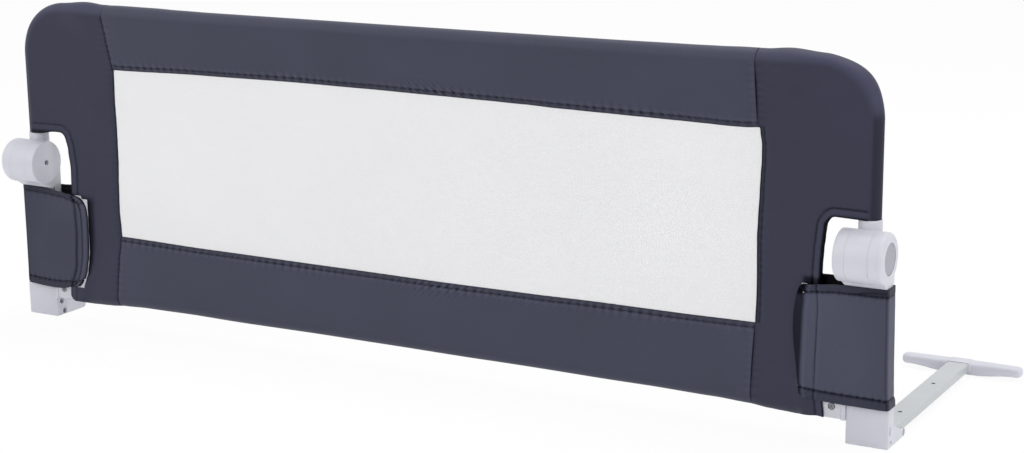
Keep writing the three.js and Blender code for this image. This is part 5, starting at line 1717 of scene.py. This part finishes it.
class RAIL_OT_strips(bpy.types.Operator):
    """Make the strips over the top rail and round the crossbar"""

    bl_idname = "rail.strips"
    bl_label = "Top and bottom strips"

    def execute(self, context):
        sizes = context.scene.rail_sizes
        tube_falls = {1: TUBE_FALL, -1: TUBE_FALL}
        shape = StripShape(sizes, WINDOW_HEAD, WINDOW_TOP_Z, (TUBE_Y, HOOP_Z), SLEEVE_RADIUS, tube_falls)
        top = make_strip("cover_strip_top", "upper_rail", "cover_top", sizes, shape)
        bar = (CROSSBAR_Y, CROSSBAR_Z)
        shape = StripShape(sizes, WINDOW_SILL, WINDOW_BOTTOM_Z, bar, LOW_SLEEVE_RADIUS, BAR_FALLS)
        low = make_strip("cover_strip_bottom", "base_frame", "cover_bottom", sizes, shape)
        return {"FINISHED"}


class RAIL_OT_window(bpy.types.Operator):
    """Make the net of the window"""

    bl_idname = "rail.window"
    bl_label = "Window net"

    def execute(self, context):
        net = make_window(context.scene.rail_sizes)
        return {"FINISHED"}


class RAIL_OT_pockets(bpy.types.Operator):
    """Make the pockets round the hinge columns and their closing strips"""

    bl_idname = "rail.pockets"
    bl_label = "Pockets and closing strips"

    def execute(self, context):
        sizes = context.scene.rail_sizes
        for end, side in SIDES:
            pocket = make_pocket(side, sizes)
            strip = make_closing_strip(side)
        return {"FINISHED"}


class RAIL_OT_hinges(bpy.types.Operator):
    """Make the hinge columns, heads and push buttons"""

    bl_idname = "rail.hinges"
    bl_label = "Hinges"

    def execute(self, context):
        sizes = context.scene.rail_sizes
        make_hinge_column(sizes)
        make_hinge_head(sizes)
        make_button(sizes)
        make_springs(sizes)
        return {"FINISHED"}


class RAIL_OT_bases(bpy.types.Operator):
    """Make the base blocks, crossbar sockets and their screws"""

    bl_idname = "rail.bases"
    bl_label = "Base blocks"

    def execute(self, context):
        make_base_block()
        make_heel_bolt()
        make_socket()
        make_screws()
        return {"FINISHED"}


class RAIL_OT_legs(bpy.types.Operator):
    """Make the legs and their cross feet, and finish the parts that keep their shape"""

    bl_idname = "rail.legs"
    bl_label = "Legs and inner parts"

    def execute(self, context):
        make_leg()
        make_foot()
        dress_inner_parts()
        return {"FINISHED"}


class RAIL_OT_stage(bpy.types.Operator):
    """Make the floor, the studio light and the camera"""

    bl_idname = "rail.stage"
    bl_label = "Stage"

    def execute(self, context):
        looks = context.scene.rail_looks
        context.scene.view_settings.view_transform = "Standard"
        make_floor(looks)
        make_sky(looks)
        add_lamp("above", (0.4, 0.5, 3.2), (0.1, 0, 0), (3.2, 2.2), looks.above)
        add_lamp("key", (-1.6, -2.6, 2.2), (0, 0, 0.2), (2.4, 1.8), looks.key)
        add_lamp("fill", (3.0, -0.6, 1.2), (0.3, 0, 0.2), (1.6, 1.6), looks.fill)
        make_camera()
        return {"FINISHED"}


class RAIL_PT_sidebar(bpy.types.Panel):
    """The rail's pieces, sizes and looks"""

    bl_label = "Guard rail"
    bl_idname = "RAIL_PT_sidebar"
    bl_space_type = "VIEW_3D"
    bl_region_type = "UI"
    bl_category = "Guard Rail"

    def draw(self, context):
        column = self.layout.column()
        for made in OPERATORS:
            column.operator(made.bl_idname)
        for group in (context.scene.rail_sizes, context.scene.rail_looks):
            box = self.layout.box()
            for name in group.__annotations__:
                box.prop(group, name)


OPERATORS = (
    RAIL_OT_stage,
    RAIL_OT_hinges,
    RAIL_OT_bases,
    RAIL_OT_legs,
    RAIL_OT_cover,
    RAIL_OT_strips,
    RAIL_OT_window,
    RAIL_OT_pockets,
)
CLASSES = (RailSizes, RailLooks, *OPERATORS, RAIL_PT_sidebar)


def register():
    for made in CLASSES:
        bpy.utils.register_class(made)
    bpy.types.Scene.rail_sizes = PointerProperty(type=RailSizes)
    bpy.types.Scene.rail_looks = PointerProperty(type=RailLooks)


def unregister():
    del bpy.types.Scene.rail_looks
    del bpy.types.Scene.rail_sizes
    for made in reversed(CLASSES):
        bpy.utils.unregister_class(made)


def main():
    register()
    bpy.ops.rail.stage()
    bpy.ops.rail.hinges()
    bpy.ops.rail.bases()
    bpy.ops.rail.legs()
    bpy.ops.rail.cover()
    bpy.ops.rail.strips()
    bpy.ops.rail.window()
    bpy.ops.rail.pockets()


if __name__ == "__main__":
    main()
